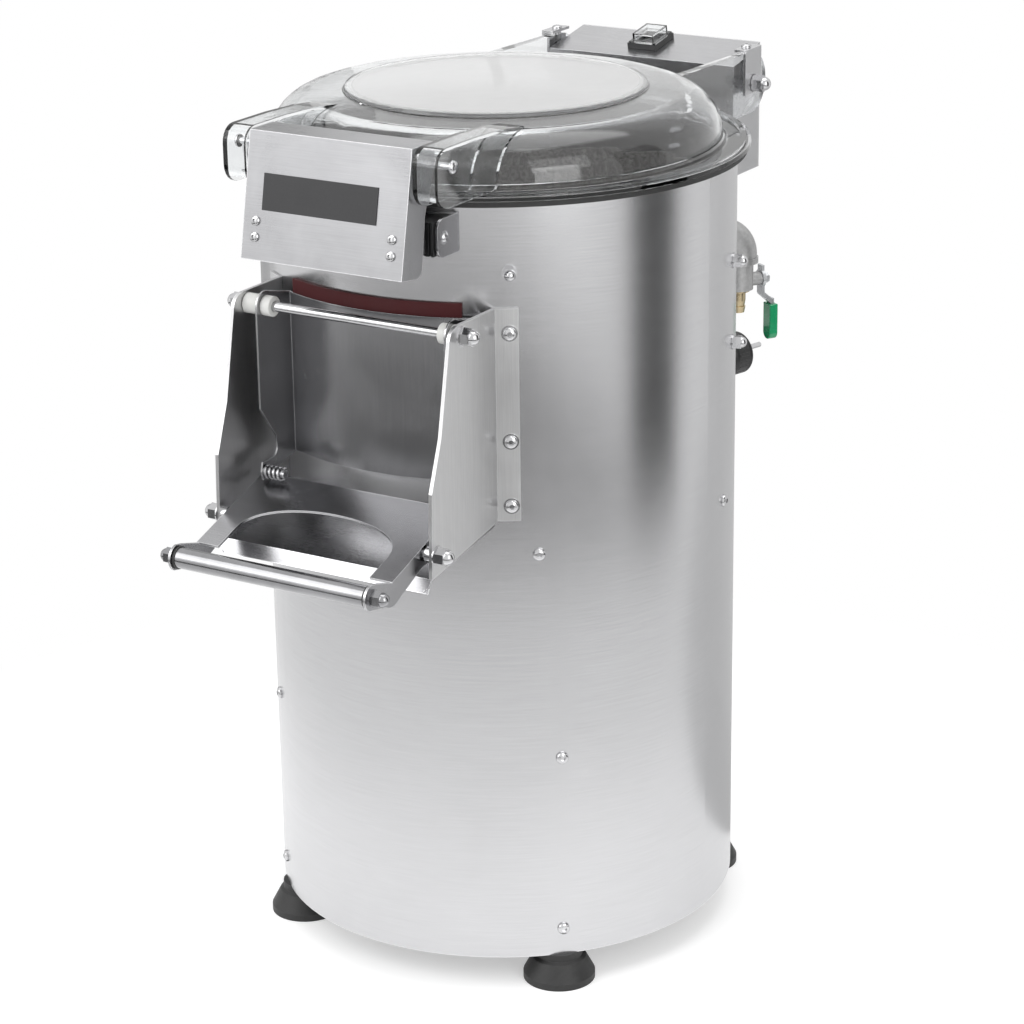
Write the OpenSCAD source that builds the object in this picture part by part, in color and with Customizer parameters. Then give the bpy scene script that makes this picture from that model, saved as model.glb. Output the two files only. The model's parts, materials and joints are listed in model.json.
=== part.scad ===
// Catering potato peeler: a standing stainless drum with an abrasive disc, a hinged clear lid,
// a front chute with its door and handle, a water valve, a drain and a switch box.
// Units are millimetres. The origin lies on the floor under the middle of the drum,
// the chute faces -Y and +Z is up.

/* [Drum] */
// Outside diameter of the drum
drum_d = 400; // [380:1:420]
// Wall of the drum
drum_wall = 2; // [1.5:0.1:2.5]
// Height of the drum shell
drum_h = 648; // [640:1:656]
// Height of a foot, floor to drum
foot_h = 28; // [24:1:34]

/* [Feet and legs] */
// Radius of the circle through the feet
foot_pitch_r = 184; // [180:1:188]
// Width across the base of a foot
foot_base_d = 61; // [50:1:66]
// Width across the neck of a foot
foot_neck_d = 40; // [34:1:46]
// Thickness of the foot's flared base
foot_base_h = 6; // [4:0.5:9]
// Width of a leg bracket
leg_w = 44; // [36:1:52]
// Height of a leg bracket
leg_h = 200; // [190:1:206]
// Sheet of the leg brackets
leg_t = 4; // [3:0.5:5]
// Reach of the bracket's foot plate inwards
leg_reach = 44; // [40:1:50]
// Height of the lower leg screws above the drum's edge
leg_screw_low = 24; // [18:1:30]
// Height of the upper leg screws above the drum's edge
leg_screw_high = 180; // [160:1:186]

/* [Fasteners] */
// Shank of the drum screws and acorn bolts
screw_d = 6; // [5:0.5:7]
// Button head width
head_d = 10.5; // [9.5:0.5:12]
// Button head height
head_h = 3.3; // [2.5:0.1:4]
// Acorn nut width across its flats on the liner bolts
acorn_af = 10; // [9:0.5:11]
// Washer width under the acorn nuts
washer_d = 13; // [12:0.5:14]
// Washer thickness
washer_t = 1.2; // [1:0.1:1.6]
// Width across flats of the nuts on the cross bolts
bolt_af = 13; // [12:0.5:14]
// Shank of the cross bolts and door rod
bolt_d = 8; // [7:0.5:9]
// Radial play of a shank in its hole
hole_play = 0.2; // [0.1:0.05:0.4]
// Radial play of a turning pin in its bore
pin_play = 0.08; // [0.05:0.01:0.1]
// Radial play of a part seated in another
seat_play = 0.05; // [0.03:0.01:0.08]
// Gap kept between parts that move past each other
run_gap = 0.4; // [0.3:0.1:0.8]

/* [Peeling chamber] */
// Underside of the chamber floor below the drum's top edge
floor_drop = 299; // [299:1:302]
// Thickness of the chamber floor
floor_t = 4; // [3:0.5:6]
// Height of the floor's bolting rim
floor_rim_h = 16; // [14:1:20]
// Wall of the floor's bolting rim
floor_rim_t = 4; // [3:0.5:5]
// Wall of the abrasive liner
liner_t = 4; // [3:0.5:5]
// Top of the abrasive liner below the drum's top edge
liner_drop = 36; // [30:1:44]
// Radial gap between the disc and the liner
disc_gap = 4; // [3:0.5:8]
// Underside of the abrasive disc below the drum's top edge
disc_drop = 252; // [248:1:256]
// Thickness of the disc at its hub
disc_t = 10; // [8:0.5:12]
// Rise of the disc's rim above its hub face
disc_rim_rise = 12; // [8:0.5:14]
// Number of raised waves on the disc
wave_count = 4; // [3:1:6]
// Rise of a wave above the disc face
wave_rise = 8; // [5:0.5:10]

/* [Drive] */
// Diameter of the main shaft
shaft_d = 25; // [22:0.5:28]
// Outside diameter of the bearings
bearing_d = 52; // [48:1:54]
// Width of a bearing
bearing_w = 15; // [13:0.5:17]
// Wall of the bearing housing
housing_wall = 9; // [7:0.5:12]
// Length of the bearing housing below the floor
housing_h = 118; // [110:1:124]
// Width of the housing's flange
housing_flange_d = 130; // [120:1:140]
// Thickness of the housing's flange
housing_flange_t = 9; // [7:0.5:12]
// Diameter of the large pulley
big_pulley_d = 160; // [150:1:166]
// Diameter of the small pulley
small_pulley_d = 40; // [36:1:48]
// Width of the pulleys and the belt
belt_w = 20; // [16:1:22]
// Thickness of the belt
belt_t = 5; // [4:0.5:6]
// Distance between the shaft and the motor
drive_centres = 122; // [120:1:124]
// Underside of the pulleys below the drum's top edge
pulley_drop = 476; // [472:1:480]
// Diameter of the motor
motor_d = 116; // [110:1:120]
// Length of the motor's body
motor_h = 110; // [104:1:113]
// Diameter of the motor's shaft
motor_shaft_d = 19; // [16:0.5:20]
// Thickness of the motor's mounting plate
mount_t = 6; // [5:0.5:8]

/* [Water inlet] */
// Angle of the inlet round the drum, from the front
inlet_az = 145; // [143:1:147]
// The inlet's bore below the drum's top edge
inlet_drop = 100; // [96:1:104]
// Outside diameter of the cast elbow
inlet_d = 32; // [28:1:34]
// Bore of the inlet elbow
inlet_bore = 18; // [14:1:20]
// Distance of the elbow's leg from the drum
inlet_reach = 28; // [26:1:32]
// Bend radius of the elbow
inlet_bend = 18; // [17:0.5:20]
// Lower end of the elbow below the inlet's bore
elbow_drop = 25; // [23:1:27]
// Width of the valve body
valve_d = 26; // [24:1:28]
// Length of the valve body
valve_h = 24; // [22:1:28]
// Outside diameter of the hose tail
barb_d = 13; // [12:0.5:15]
// Bore of the hose tail
barb_bore = 8; // [7:0.5:9]
// Length of the hose tail
barb_h = 21; // [18:1:26]
// Ball of the valve
ball_d = 11; // [10:0.5:11.5]
// Height of the stem above the valve's lower end
stem_rise = 7; // [6:0.5:9]
// Length of the valve lever below its stem
valve_lever_l = 54; // [48:1:60]
// Width of the lever's green sleeve
sleeve_w = 13; // [11:0.5:15]
// Thickness of the lever's green sleeve
sleeve_t = 8; // [7:0.5:9]

/* [Drain] */
// Angle of the drain round the drum, from the front
drain_az = -98; // [-100:1:-96]
// The drain's bore below the drum's top edge
drain_drop = 458; // [454:1:462]
// Outside diameter of the drain elbow
drain_d = 49; // [46:1:52]
// Outside diameter of the pipe inside the drum
drain_pipe_d = 40; // [38:1:42]
// Wall of the drain pipe
drain_pipe_t = 2; // [1.5:0.25:3]
// Distance of the pipe from the drum's axis
drain_pipe_r = 150; // [148:1:152]
// Bend radius of the pipe
drain_bend = 30; // [28:1:32]
// Length of the outer elbow's straight end
drain_tail = 24; // [18:1:40]

/* [Chute] */
// Half the distance between the chute's cheeks, inside
chute_half = 100; // [99:0.5:101]
// Sheet of the chute
chute_t = 3; // [2.5:0.25:3.5]
// Width of the strip that bolts to the drum
strip_w = 17; // [15:0.5:19]
// Sheet of the bolting strip
strip_t = 2; // [1.5:0.25:2.5]
// Top of the chute plates below the drum's top edge
chute_drop = 82; // [80:1:84]
// Depth of the chute floor's front edge, from the drum's axis
lip_y = 269; // [267:1:272]
// The chute floor's front edge below the drum's top edge
lip_drop = 277; // [276:1:279]
// Fall of the chute floor, in degrees
chute_fall = 9; // [7:0.5:10]
// Sheet of the chute floor
chute_floor_t = 1.5; // [1.2:0.1:2]
// Length of the bent lip
lip_len = 12; // [10:0.5:14]

/* [Discharge door] */
// Lower edge of the front opening below the drum's top edge
sill_drop = 219; // [218:0.5:220]
// Upper edge of the front opening below the drum's top edge
head_drop = 90; // [89:1:92]
// Half the width of the drum's front opening
port_half = 74; // [70:1:76]
// The door's rod below the drum's top edge
rod_drop = 92; // [91:0.5:93]
// Depth of the door's rod, from the drum's axis
rod_y = 222; // [221:0.5:223]
// Sheet of the door
door_t = 1.5; // [1.2:0.1:2]
// Reach of the door to the left of the middle
door_left = 84; // [83:0.5:85]
// Reach of the door to the right of the middle
door_right = 95; // [94:0.5:95.5]
// Outside diameter of the white bushings
bush_d = 16.5; // [15:0.5:18]
// Width of the inner bushing
bush_in = 9; // [7:0.5:11]
// Thickness of the red seal
seal_t = 3; // [2.5:0.25:3.5]
// Reach of the red seal above the door
seal_over = 11; // [9:0.5:12]
// Outside diameter of the toe spring
spring_d = 12; // [11:0.5:12.5]
// Wire of the toe spring
spring_wire = 2; // [1.5:0.1:2.2]
// Length of the toe spring
spring_l = 20; // [17:1:22]

/* [Handle] */
// Half the width of the lever plate
lever_half = 93; // [92:0.5:94]
// Sheet of the lever
lever_t = 2; // [1.5:0.25:2.5]
// Depth of the lever's pivot, from the drum's axis
pivot_y = 265; // [264:0.5:266]
// The lever's pivot below the drum's top edge
pivot_drop = 258; // [257.5:0.5:259]
// Diameter of the handle tube
handle_d = 17; // [16:0.5:18]
// Half the width of the lever's cut-out
cut_half = 72; // [68:1:74]
// Length of the lever's cut-out
cut_len = 64; // [58:1:66]

/* [Lid] */
// Outside diameter of the lid's flange
flange_d = 422; // [418:1:426]
// Outside diameter of the black gasket
gasket_d = 417; // [414:1:418]
// Thickness of the gasket
gasket_t = 5; // [4:0.5:6]
// Thickness of the lid's flange
flange_t = 4; // [3:0.5:5]
// Outside diameter of the dome at its base
dome_d = 382; // [378:1:384]
// Height of the dome above the drum
dome_rise = 56; // [53:1:58]
// Round of the dome's shoulder
dome_round = 38; // [34:1:40]
// Diameter of the raised ring on the dome
crown_d = 250; // [236:1:262]
// Wall of the lid
lid_wall = 4; // [3:0.25:4.5]
// Half the inner distance between the front lugs
lug_in = 77; // [76.5:0.5:78]
// Width of a front lug
lug_w = 22; // [20:1:24]
// Depth of the latch pivot, from the drum's axis
latch_y = 225; // [224:1:226]
// Height of the latch pivot above the drum
latch_rise = 41; // [40:1:42]
// Depth of the lid hinge behind the drum's axis
hinge_y = 266; // [264:1:268]
// Height of the lid hinge above the drum
hinge_rise = 16; // [15:1:17]
// Round of the rear arms
arm_r = 27; // [25:0.5:28]
// Width of a rear arm
arm_w = 9; // [8:0.5:9.5]

/* [Latch flap] */
// Half the width of the latch box
latch_half = 75; // [74:0.5:75.5]
// Height of the latch box
latch_h = 101; // [96:1:104]
// Depth of the latch box
latch_d = 30; // [28:1:32]
// Sheet of the latch box
latch_t = 1.5; // [1.2:0.1:2]
// Tilt of the latch box, in degrees
latch_tilt = 11; // [9:0.5:13]

/* [Switch box] */
// Half the width of the switch box
box_half = 90.5; // [89:0.5:90.5]
// Front face of the switch box behind the drum's axis
box_y = 241; // [239:1:243]
// Depth of the switch box
box_d = 60; // [56:1:66]
// Underside of the switch box below the drum's top edge
box_drop = 68; // [64:1:76]
// Height of the box's front face
box_front_h = 102; // [100:1:104]
// Slope of the box's top, in degrees
box_slope = 10.5; // [9:0.5:12]
// Sheet of the switch box
box_t = 1.5; // [1.2:0.1:2]
// Width of the rocker switch's frame
switch_w = 29; // [27:0.5:31]
// Length of the rocker switch's frame
switch_l = 34; // [32:0.5:36]
// Height of the rocker switch's frame
switch_h = 5; // [4:0.5:6]

/* [Mains lead] */
// Diameter of the mains cord
cord_d = 8; // [7:0.5:8]
// Width of the plug's round body
plug_d = 38; // [34:1:40]
// Length of the plug's body along its pins
plug_l = 23; // [20:1:26]
// Diameter of a plug pin
plug_pin_d = 4.8; // [4:0.1:4.8]
// Length of a plug pin
plug_pin_l = 19; // [17:0.5:20]
// Height of the hank of cord
hank_h = 150; // [140:1:156]

/* [Hidden] */
$fn = 72;

steel = "#c4c6c8";
dark_steel = "#8c9094";
clear = [0.86, 0.88, 0.9, 0.55];
black = "#1b1b1d";
white = "#f2f2ef";

drum_r = drum_d / 2;
drum_in = drum_r - drum_wall;

// Heights over the floor of what hangs from the drum's top edge
drum_top = foot_h + drum_h;
floor_z = drum_top - floor_drop;
liner_top_z = drum_top - liner_drop;
disc_z = drum_top - disc_drop;
pulley_z = drum_top - pulley_drop;
inlet_z = drum_top - inlet_drop;
elbow_end_z = inlet_z - elbow_drop;
drain_z = drum_top - drain_drop;
chute_top_z = drum_top - chute_drop;
lip_z = drum_top - lip_drop;
sill_z = drum_top - sill_drop;
head_z = drum_top - head_drop;
rod_z = drum_top - rod_drop;
pivot_z = drum_top - pivot_drop;
box_z = drum_top - box_drop;

leg_angles = [45, 135, 225, 315];
inner_r = drum_in - liner_t - run_gap;
deep = 12;

// -------- shared shapes

// Carries its children to the drum wall at an angle from the front, with +Z pointing outwards
module at_wall(az, r, z) {
  rotate([0, 0, az])
    translate([0, -r, z]) rotate([90, 0, 0]) children();
}

// Extrudes a (y, z) outline along X, from x0 to x1
module slab(x0, x1) {
  translate([x0, 0, 0])
    rotate([90, 0, 90])
      linear_extrude(x1 - x0)
        children();
}

// Its children and their mirror image across the middle plane
module both_sides() {
  for (s = [0, 1])
    mirror([s, 0, 0]) children();
}

// The same slab on both sides of the middle plane
module both_slabs(x0, x1) {
  slab(x0, x1) children();
  slab(-x1, -x0) children();
}

// A cylinder along X
module x_rod(x0, x1, y, z, r) {
  translate([x0, y, z]) rotate([0, 90, 0]) cylinder(h = x1 - x0, r = r);
}

// A tube standing on the XY plane
module tube(h, r_out, r_in) {
  difference() {
    cylinder(h = h, r = r_out);
    translate([0, 0, -1]) cylinder(h = h + 2, r = r_in);
  }
}

// Sector of a tube about Z, between two angles from the front
module wall_sheet(r_in, r_out, az0, az1, z0, z1) {
  translate([0, 0, z0])
    rotate([0, 0, az0 - 90])
      rotate_extrude(angle = az1 - az0)
        translate([r_in, 0]) square([r_out - r_in, z1 - z0]);
}

// Points of an arc, for outlines
function arc(cx, cy, r, a0, a1, n = 8) =
  [for (i = [0:n]) let(a = a0 + (a1 - a0) * i / n) [cx + r * cos(a), cy + r * sin(a)]];

// Button head on the XY plane with its socket, and a shank below it
module button_screw(shank, d = screw_d, w = head_d, h = head_h) {
  difference() {
    rotate_extrude()
      polygon(concat([[0, 0], [w / 2, 0], [w / 2, h * 0.3]],
        [for (i = [1:5]) [w / 2 * cos(i * 16), h * 0.3 + h * 0.7 * sin(i * 18)]],
        [[0, h]]));
    translate([0, 0, h - h * 0.5]) cylinder(h = h, r = d * 0.38, $fn = 6);
  }
  translate([0, 0, -shank]) cylinder(h = shank, r = d / 2);
}

// Acorn nut and washer on the XY plane, and a shank below them
module acorn_nut(shank, d = screw_d, af = acorn_af, w = washer_d) {
  hex_h = af * 0.62;
  cylinder(h = washer_t, r = w / 2);
  translate([0, 0, washer_t]) cylinder(h = hex_h, r = af / sqrt(3), $fn = 6);
  translate([0, 0, washer_t + hex_h])
    intersection() {
      sphere(r = af * 0.47);
      cylinder(h = af, r = af);
    }
  if (shank > 0)
    translate([0, 0, -shank]) cylinder(h = shank, r = d / 2);
}

// Hexagon head bolt, head on the XY plane and shank below it
module hex_bolt(shank, d = bolt_d, af = bolt_af) {
  cylinder(h = d * 0.65, r = af / sqrt(3), $fn = 6);
  translate([0, 0, -shank]) cylinder(h = shank, r = d / 2);
}

// -------- drum and its floor

ring_z = floor_z + floor_t + 7;
ring_angles = [40, 100, 160, 220, 280, 320];
liner_bolt_places = [for (s = [1, -1]) for (p = [[34, 54], [108, 87], [108, 157]])
  [s * p[0], drum_top - p[1]]];
strip_az = 33.8;
strip_zs = [drum_top - 245, drum_top - 191, drum_top - 102];
catch_az = 16;
catch_z = drum_top - 21;
box_leg_x = 58;
box_leg_az = 19.5;
box_leg_zs = [box_z + 38, box_z + 56];
screw_hole_r = screw_d / 2 + hole_play;

module wall_hole(az, z, r, depth = deep) {
  at_wall(az, drum_r, z)
    translate([0, 0, -depth]) cylinder(h = 2 * depth, r = r);
}

module leg_screw_places() {
  for (a = leg_angles)
    for (z = [leg_screw_low, leg_screw_high])
      at_wall(a, drum_r, foot_h + z) children();
}

module drum() {
  color(steel) difference() {
    translate([0, 0, foot_h]) tube(drum_h, drum_r, drum_in);
    translate([-port_half, -drum_r - 10, sill_z])
      cube([2 * port_half, drum_r, head_z - sill_z]);
    leg_screw_places() translate([0, 0, -deep]) cylinder(h = 2 * deep, r = screw_hole_r);
    for (a = ring_angles)
      wall_hole(a, ring_z, screw_hole_r);
    for (p = liner_bolt_places)
      wall_hole(p[0], p[1], screw_hole_r);
    for (s = [-1, 1]) {
      for (z = strip_zs)
        wall_hole(s * strip_az, z, screw_hole_r);
      wall_hole(s * catch_az, catch_z, screw_hole_r);
      for (z = box_leg_zs)
        wall_hole(180 + s * box_leg_az, z, screw_hole_r);
    }
    wall_hole(inlet_az, inlet_z, inlet_neck_r + hole_play);
    wall_hole(drain_az, drain_z, drain_pipe_d / 2 + hole_play);
  }
}

// Hexagon nut on a screw's inner end, that far under its head
module wall_nut(depth) {
  translate([0, 0, -depth - 0.2 - 4]) cylinder(h = 4, r = acorn_af / sqrt(3), $fn = 6);
}

module drum_screws() {
  color(steel) {
    leg_screw_places() {
      button_screw(drum_wall + leg_t + 6);
      wall_nut(drum_wall + leg_t);
    }
    for (a = ring_angles)
      at_wall(a, drum_r, ring_z) {
        button_screw(drum_wall + floor_rim_t + 5);
        wall_nut(drum_wall + floor_rim_t + run_gap);
      }
    for (s = [-1, 1]) {
      at_wall(s * catch_az, drum_r + 0.2 + ear_t, catch_z) {
        button_screw(drum_wall + ear_t + 6);
        wall_nut(drum_wall + ear_t + 0.2);
      }
      for (z = box_leg_zs)
        at_wall(180 + s * box_leg_az, drum_r + 0.2 + box_leg_t, z) {
          button_screw(drum_wall + box_leg_t + 6);
          wall_nut(drum_wall + box_leg_t + 0.2);
        }
    }
  }
}

// -------- feet

// Rubber feet, each moulded round the head of its bolt
module feet() {
  color(black) for (a = leg_angles)
    rotate([0, 0, a])
      translate([0, -foot_pitch_r, 0])
        difference() {
          rotate_extrude()
            polygon([[0, 0], [foot_base_d / 2, 0], [foot_base_d / 2, foot_base_h],
              [foot_neck_d / 2 + 3, foot_h - 8], [foot_neck_d / 2, foot_h - 6],
              [foot_neck_d / 2, foot_h], [0, foot_h]]);
          translate([0, 0, foot_seat_z - 1])
            cylinder(h = foot_h + 2, r = bolt_d / 2 + hole_play);
          translate([0, 0, foot_seat_z - foot_head_h - hole_play])
            cylinder(h = foot_head_h + hole_play, r = bolt_af / sqrt(3) + hole_play, $fn = 6);
        }
}

foot_seat_z = 9;
foot_head_h = bolt_d * 0.65;
leg_out = drum_in - 0.1;

module foot_bolts() {
  color(dark_steel) for (a = leg_angles)
    rotate([0, 0, a])
      translate([0, -foot_pitch_r, foot_seat_z]) {
        rotate([180, 0, 0]) hex_bolt(foot_h - foot_seat_z + leg_t + 10);
        translate([0, 0, foot_h - foot_seat_z + leg_t])
          cylinder(h = 6.5, r = bolt_af / sqrt(3), $fn = 6);
      }
}

// Upright sheet that follows the drum, with a foot plate at its lower end
module leg_brackets() {
  half = leg_w / 2 / drum_in * 180 / PI;
  color(steel) for (a = leg_angles)
    difference() {
      union() {
        wall_sheet(drum_in - leg_t, leg_out, a - half, a + half, foot_h, foot_h + leg_h);
        intersection() {
          wall_sheet(drum_in - leg_reach, leg_out, a - 2 * half, a + 2 * half,
            foot_h, foot_h + leg_t);
          rotate([0, 0, a])
            translate([-leg_w / 2, -drum_r, foot_h]) cube([leg_w, 2 * leg_reach, leg_t]);
        }
      }
      rotate([0, 0, a])
        translate([0, -foot_pitch_r, foot_h - 1])
          cylinder(h = leg_t + 2, r = bolt_d / 2 + hole_play);
      for (z = [leg_screw_low, leg_screw_high])
        wall_hole(a, foot_h + z, screw_hole_r);
    }
}

// -------- peeling chamber

floor_top = floor_z + floor_t;
spigot_r = bearing_d / 2 + 4;

module chamber_floor() {
  color(steel) difference() {
    union() {
      translate([0, 0, floor_z]) cylinder(h = floor_t, r = drum_in - run_gap);
      translate([0, 0, floor_z])
        tube(floor_rim_h, drum_in - run_gap, drum_in - run_gap - floor_rim_t);
    }
    translate([0, 0, floor_z - 1]) cylinder(h = floor_t + 2, r = spigot_r + hole_play);
    rotate([0, 0, drain_az])
      translate([0, -drain_pipe_r, floor_z - 1])
        cylinder(h = floor_t + 2, r = drain_pipe_d / 2 + hole_play);
    housing_bolt_places()
      translate([0, 0, -deep]) cylinder(h = 2 * deep, r = screw_hole_r);
    for (a = ring_angles)
      wall_hole(a, ring_z, screw_hole_r);
  }
}

module abrasive_liner() {
  seat = floor_z + floor_rim_h;
  color("#5d5a55") difference() {
    translate([0, 0, seat]) tube(liner_top_z - seat, drum_in - run_gap, inner_r);
    translate([-port_half, -drum_r - 10, sill_z])
      cube([2 * port_half, drum_r, head_z - sill_z]);
    for (p = liner_bolt_places)
      wall_hole(p[0], p[1], screw_hole_r, 2 * deep);
    wall_hole(inlet_az, inlet_z, inlet_neck_r + hole_play, 2 * deep);
  }
}

module liner_bolts() {
  reach = drum_r - inner_r;
  color(steel) for (p = liner_bolt_places)
    at_wall(p[0], drum_r, p[1]) {
      acorn_nut(reach + 1.5);
      translate([0, 0, -reach - 2.5]) cylinder(h = 2, r = head_d / 2);
    }
}

disc_r = inner_r - disc_gap;
disc_face = disc_z + disc_t;

module abrasive_disc() {
  color("#4f4c48") difference() {
    union() {
      rotate_extrude()
        polygon([[0, disc_z], [disc_r, disc_z], [disc_r, disc_face + disc_rim_rise],
          [disc_r - 14, disc_face + disc_rim_rise], [disc_r - 45, disc_face], [0, disc_face]]);
      intersection() {
        for (i = [0:wave_count - 1])
          rotate([0, 0, (i + 0.5) * 360 / wave_count])
            translate([0, -34, disc_face + wave_rise - wave_r])
              rotate([90, 0, 0]) cylinder(h = disc_r - 60, r = wave_r);
        translate([0, 0, disc_z + 1]) cylinder(h = 2 * wave_r, r = disc_r - 20);
      }
    }
    translate([0, 0, disc_z - 1]) cylinder(h = disc_t + 2, r = shaft_d / 2 + seat_play);
  }
}

wave_r = 20;
disc_nut_r = 24;

module disc_nut() {
  color(steel) translate([0, 0, disc_face])
    difference() {
      rotate_extrude()
        polygon(concat([[0, 0], [disc_nut_r, 0]], arc(disc_nut_r - 8, 4, 8, 0, 90, 6), [[0, 12]]));
      translate([0, 0, -1]) cylinder(h = 9.5, r = shaft_d / 2 + seat_play);
    }
}

// -------- bearing housing and shaft

housing_r = bearing_d / 2 + housing_wall;
housing_z = floor_z - housing_h;
seal_h = 10;
bearing_zs = [housing_z + 4, floor_z - 4 - bearing_w];
housing_bolt_r = housing_flange_d / 2 - 9;
shaft_top = disc_face + 8;
shaft_bottom = pulley_z - 4;

module housing_bolt_places() {
  for (a = [30:60:330])
    rotate([0, 0, a]) translate([housing_bolt_r, 0, floor_top]) children();
}

module bearing_housing() {
  color(dark_steel) difference() {
    union() {
      translate([0, 0, housing_z]) cylinder(h = housing_h, r = housing_r);
      translate([0, 0, floor_z - housing_flange_t])
        cylinder(h = housing_flange_t, r = housing_flange_d / 2);
      translate([0, 0, floor_z]) cylinder(h = seal_h + 4, r = spigot_r);
      translate([0, 0, housing_z]) cylinder(h = mount_t + 2, r = housing_r + 14);
    }
    translate([0, 0, housing_z - 1]) cylinder(h = housing_h + seal_h + 6, r = shaft_d / 2 + 3);
    for (z = bearing_zs)
      translate([0, 0, z]) cylinder(h = bearing_w, r = bearing_d / 2);
    translate([0, 0, housing_z - 1]) cylinder(h = 6, r = bearing_d / 2);
    translate([0, 0, floor_z - 5]) cylinder(h = 6, r = bearing_d / 2);
    translate([0, 0, floor_z + 4]) cylinder(h = seal_h + 1, r = bearing_d / 2 - 2);
    housing_bolt_places()
      translate([0, 0, -housing_flange_t - floor_t - 1])
        cylinder(h = 3 * deep, r = screw_hole_r);
    mount_bolt_places()
      translate([0, 0, housing_z]) cylinder(h = 4 * deep, r = screw_hole_r, center = true);
  }
}

module bearings() {
  color("#d9dadb") {
    for (z = bearing_zs)
      translate([0, 0, z])
        tube(bearing_w, bearing_d / 2 - seat_play, shaft_d / 2 + pin_play);
    translate([0, drive_centres, 0])
      for (z = motor_bearing_zs)
        translate([0, 0, z])
          tube(motor_bearing_w, motor_bearing_d / 2 - seat_play, motor_shaft_d / 2 + pin_play);
  }
}

module shaft_seal() {
  color(black) translate([0, 0, floor_z + 4])
    tube(seal_h, bearing_d / 2 - 2 - seat_play, shaft_d / 2 + pin_play);
}

module housing_bolts() {
  color(dark_steel) {
    housing_bolt_places() {
      hex_bolt(floor_t + housing_flange_t + 6, screw_d, 10);
      translate([0, 0, -floor_t - housing_flange_t - 5])
        cylinder(h = 5, r = 10 / sqrt(3), $fn = 6);
    }
    mount_bolt_places() {
      translate([0, 0, housing_z + mount_t + 2]) hex_bolt(2 * mount_t + 8, screw_d, 10);
      translate([0, 0, housing_z - mount_t - 5]) cylinder(h = 5, r = 10 / sqrt(3), $fn = 6);
    }
    motor_bolt_places() {
      translate([0, 0, motor_foot_top]) hex_bolt(motor_foot_t + mount_t + 6, screw_d, 10);
      translate([0, 0, housing_z - mount_t - 5]) cylinder(h = 5, r = 10 / sqrt(3), $fn = 6);
    }
  }
}

module main_shaft() {
  color("#b9bbbd") translate([0, 0, shaft_bottom])
    cylinder(h = shaft_top - shaft_bottom, r = shaft_d / 2);
}

// -------- belt drive and motor

mount_bolt_angles = [45, 180, 315];
motor_foot_t = 8;
motor_z = housing_z;
motor_foot_top = motor_z + motor_foot_t;
motor_skin = 4;
motor_bearing_d = 36;
motor_bearing_w = 12;
motor_bearing_zs = [motor_z + motor_skin, motor_z + motor_h - motor_skin - motor_bearing_w];
belt_z = pulley_z + 2;
groove_r_big = big_pulley_d / 2;
groove_r_small = small_pulley_d / 2;
belt_lean = asin((groove_r_big - groove_r_small) / drive_centres);

module mount_bolt_places() {
  for (a = mount_bolt_angles)
    rotate([0, 0, a - 90]) translate([housing_r + 8, 0, 0]) children();
}

module motor_bolt_places() {
  for (a = [45:90:315])
    translate([0, drive_centres, 0])
      rotate([0, 0, a]) translate([motor_d / 2 + 2, 0, 0]) children();
}

// Plate under the bearing housing that carries the motor
module motor_mount() {
  color(steel) translate([0, 0, housing_z - mount_t])
    difference() {
      union() {
        cylinder(h = mount_t, r = housing_r + 18);
        translate([-58, 0, 0]) cube([116, drive_centres, mount_t]);
        translate([0, drive_centres, 0]) cylinder(h = mount_t, r = motor_d / 2 + 12);
      }
      translate([0, 0, -1]) cylinder(h = mount_t + 2, r = shaft_d / 2 + 4);
      translate([0, drive_centres, -1]) cylinder(h = mount_t + 2, r = motor_shaft_d / 2 + 10);
      mount_bolt_places() cylinder(h = 4 * deep, r = screw_hole_r, center = true);
      motor_bolt_places() cylinder(h = 4 * deep, r = screw_hole_r, center = true);
    }
}

module motor_body() {
  color("#40464c") translate([0, drive_centres, motor_z])
    difference() {
      union() {
        intersection() {
          cylinder(h = motor_foot_t, r = motor_d / 2 + 10);
          translate([-motor_d / 2, -motor_d / 2, 0]) cube([motor_d, motor_d, motor_foot_t]);
        }
        cylinder(h = motor_h - 22, r = motor_d / 2 - 6);
        for (a = [0:15:345])
          rotate([0, 0, a])
            translate([motor_d / 2 - 8, -1, motor_foot_t + 4]) cube([6, 2, motor_h - 44]);
        translate([0, 0, motor_h - 26]) cylinder(h = 26, r = motor_d / 2 - 1);
      }
      difference() {
        translate([0, 0, motor_skin])
          cylinder(h = motor_h - 2 * motor_skin, r = motor_d / 2 - 14);
        for (z = motor_bearing_zs)
          translate([0, 0, z - motor_z])
            tube(motor_bearing_w, motor_bearing_d / 2 + 5, motor_bearing_d / 2);
      }
      translate([0, 0, -1]) cylinder(h = 10, r = motor_shaft_d / 2 + 1);
      translate([0, 0, -deep])
        for (a = [45:90:315])
          rotate([0, 0, a])
            translate([motor_d / 2 + 2, 0, 0]) cylinder(h = 3 * deep, r = screw_hole_r);
    }
}

module motor_rotor() {
  color("#a9acb0") translate([0, drive_centres, 0]) {
    translate([0, 0, shaft_bottom])
      cylinder(h = motor_z + motor_h - motor_skin - 0.5 - shaft_bottom, r = motor_shaft_d / 2);
    translate([0, 0, motor_z + 22]) cylinder(h = motor_h - 66, r = motor_d / 2 - 18);
    for (a = [0:60:300])
      rotate([0, 0, a])
        translate([0, -1.5, motor_z + motor_h - 38]) cube([motor_d / 2 - 18, 3, 16]);
  }
}

// Grooved pulley on the XY plane
module pulley(r, bore_r, hub_r) {
  difference() {
    union() {
      cylinder(h = belt_w + 4, r = r);
      cylinder(h = 2, r = r + 3);
      translate([0, 0, belt_w + 2]) cylinder(h = 2, r = r + 3);
      translate([0, 0, -2]) cylinder(h = belt_w + 8, r = hub_r);
    }
    translate([0, 0, -3]) cylinder(h = belt_w + 10, r = bore_r + seat_play);
  }
}

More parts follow.
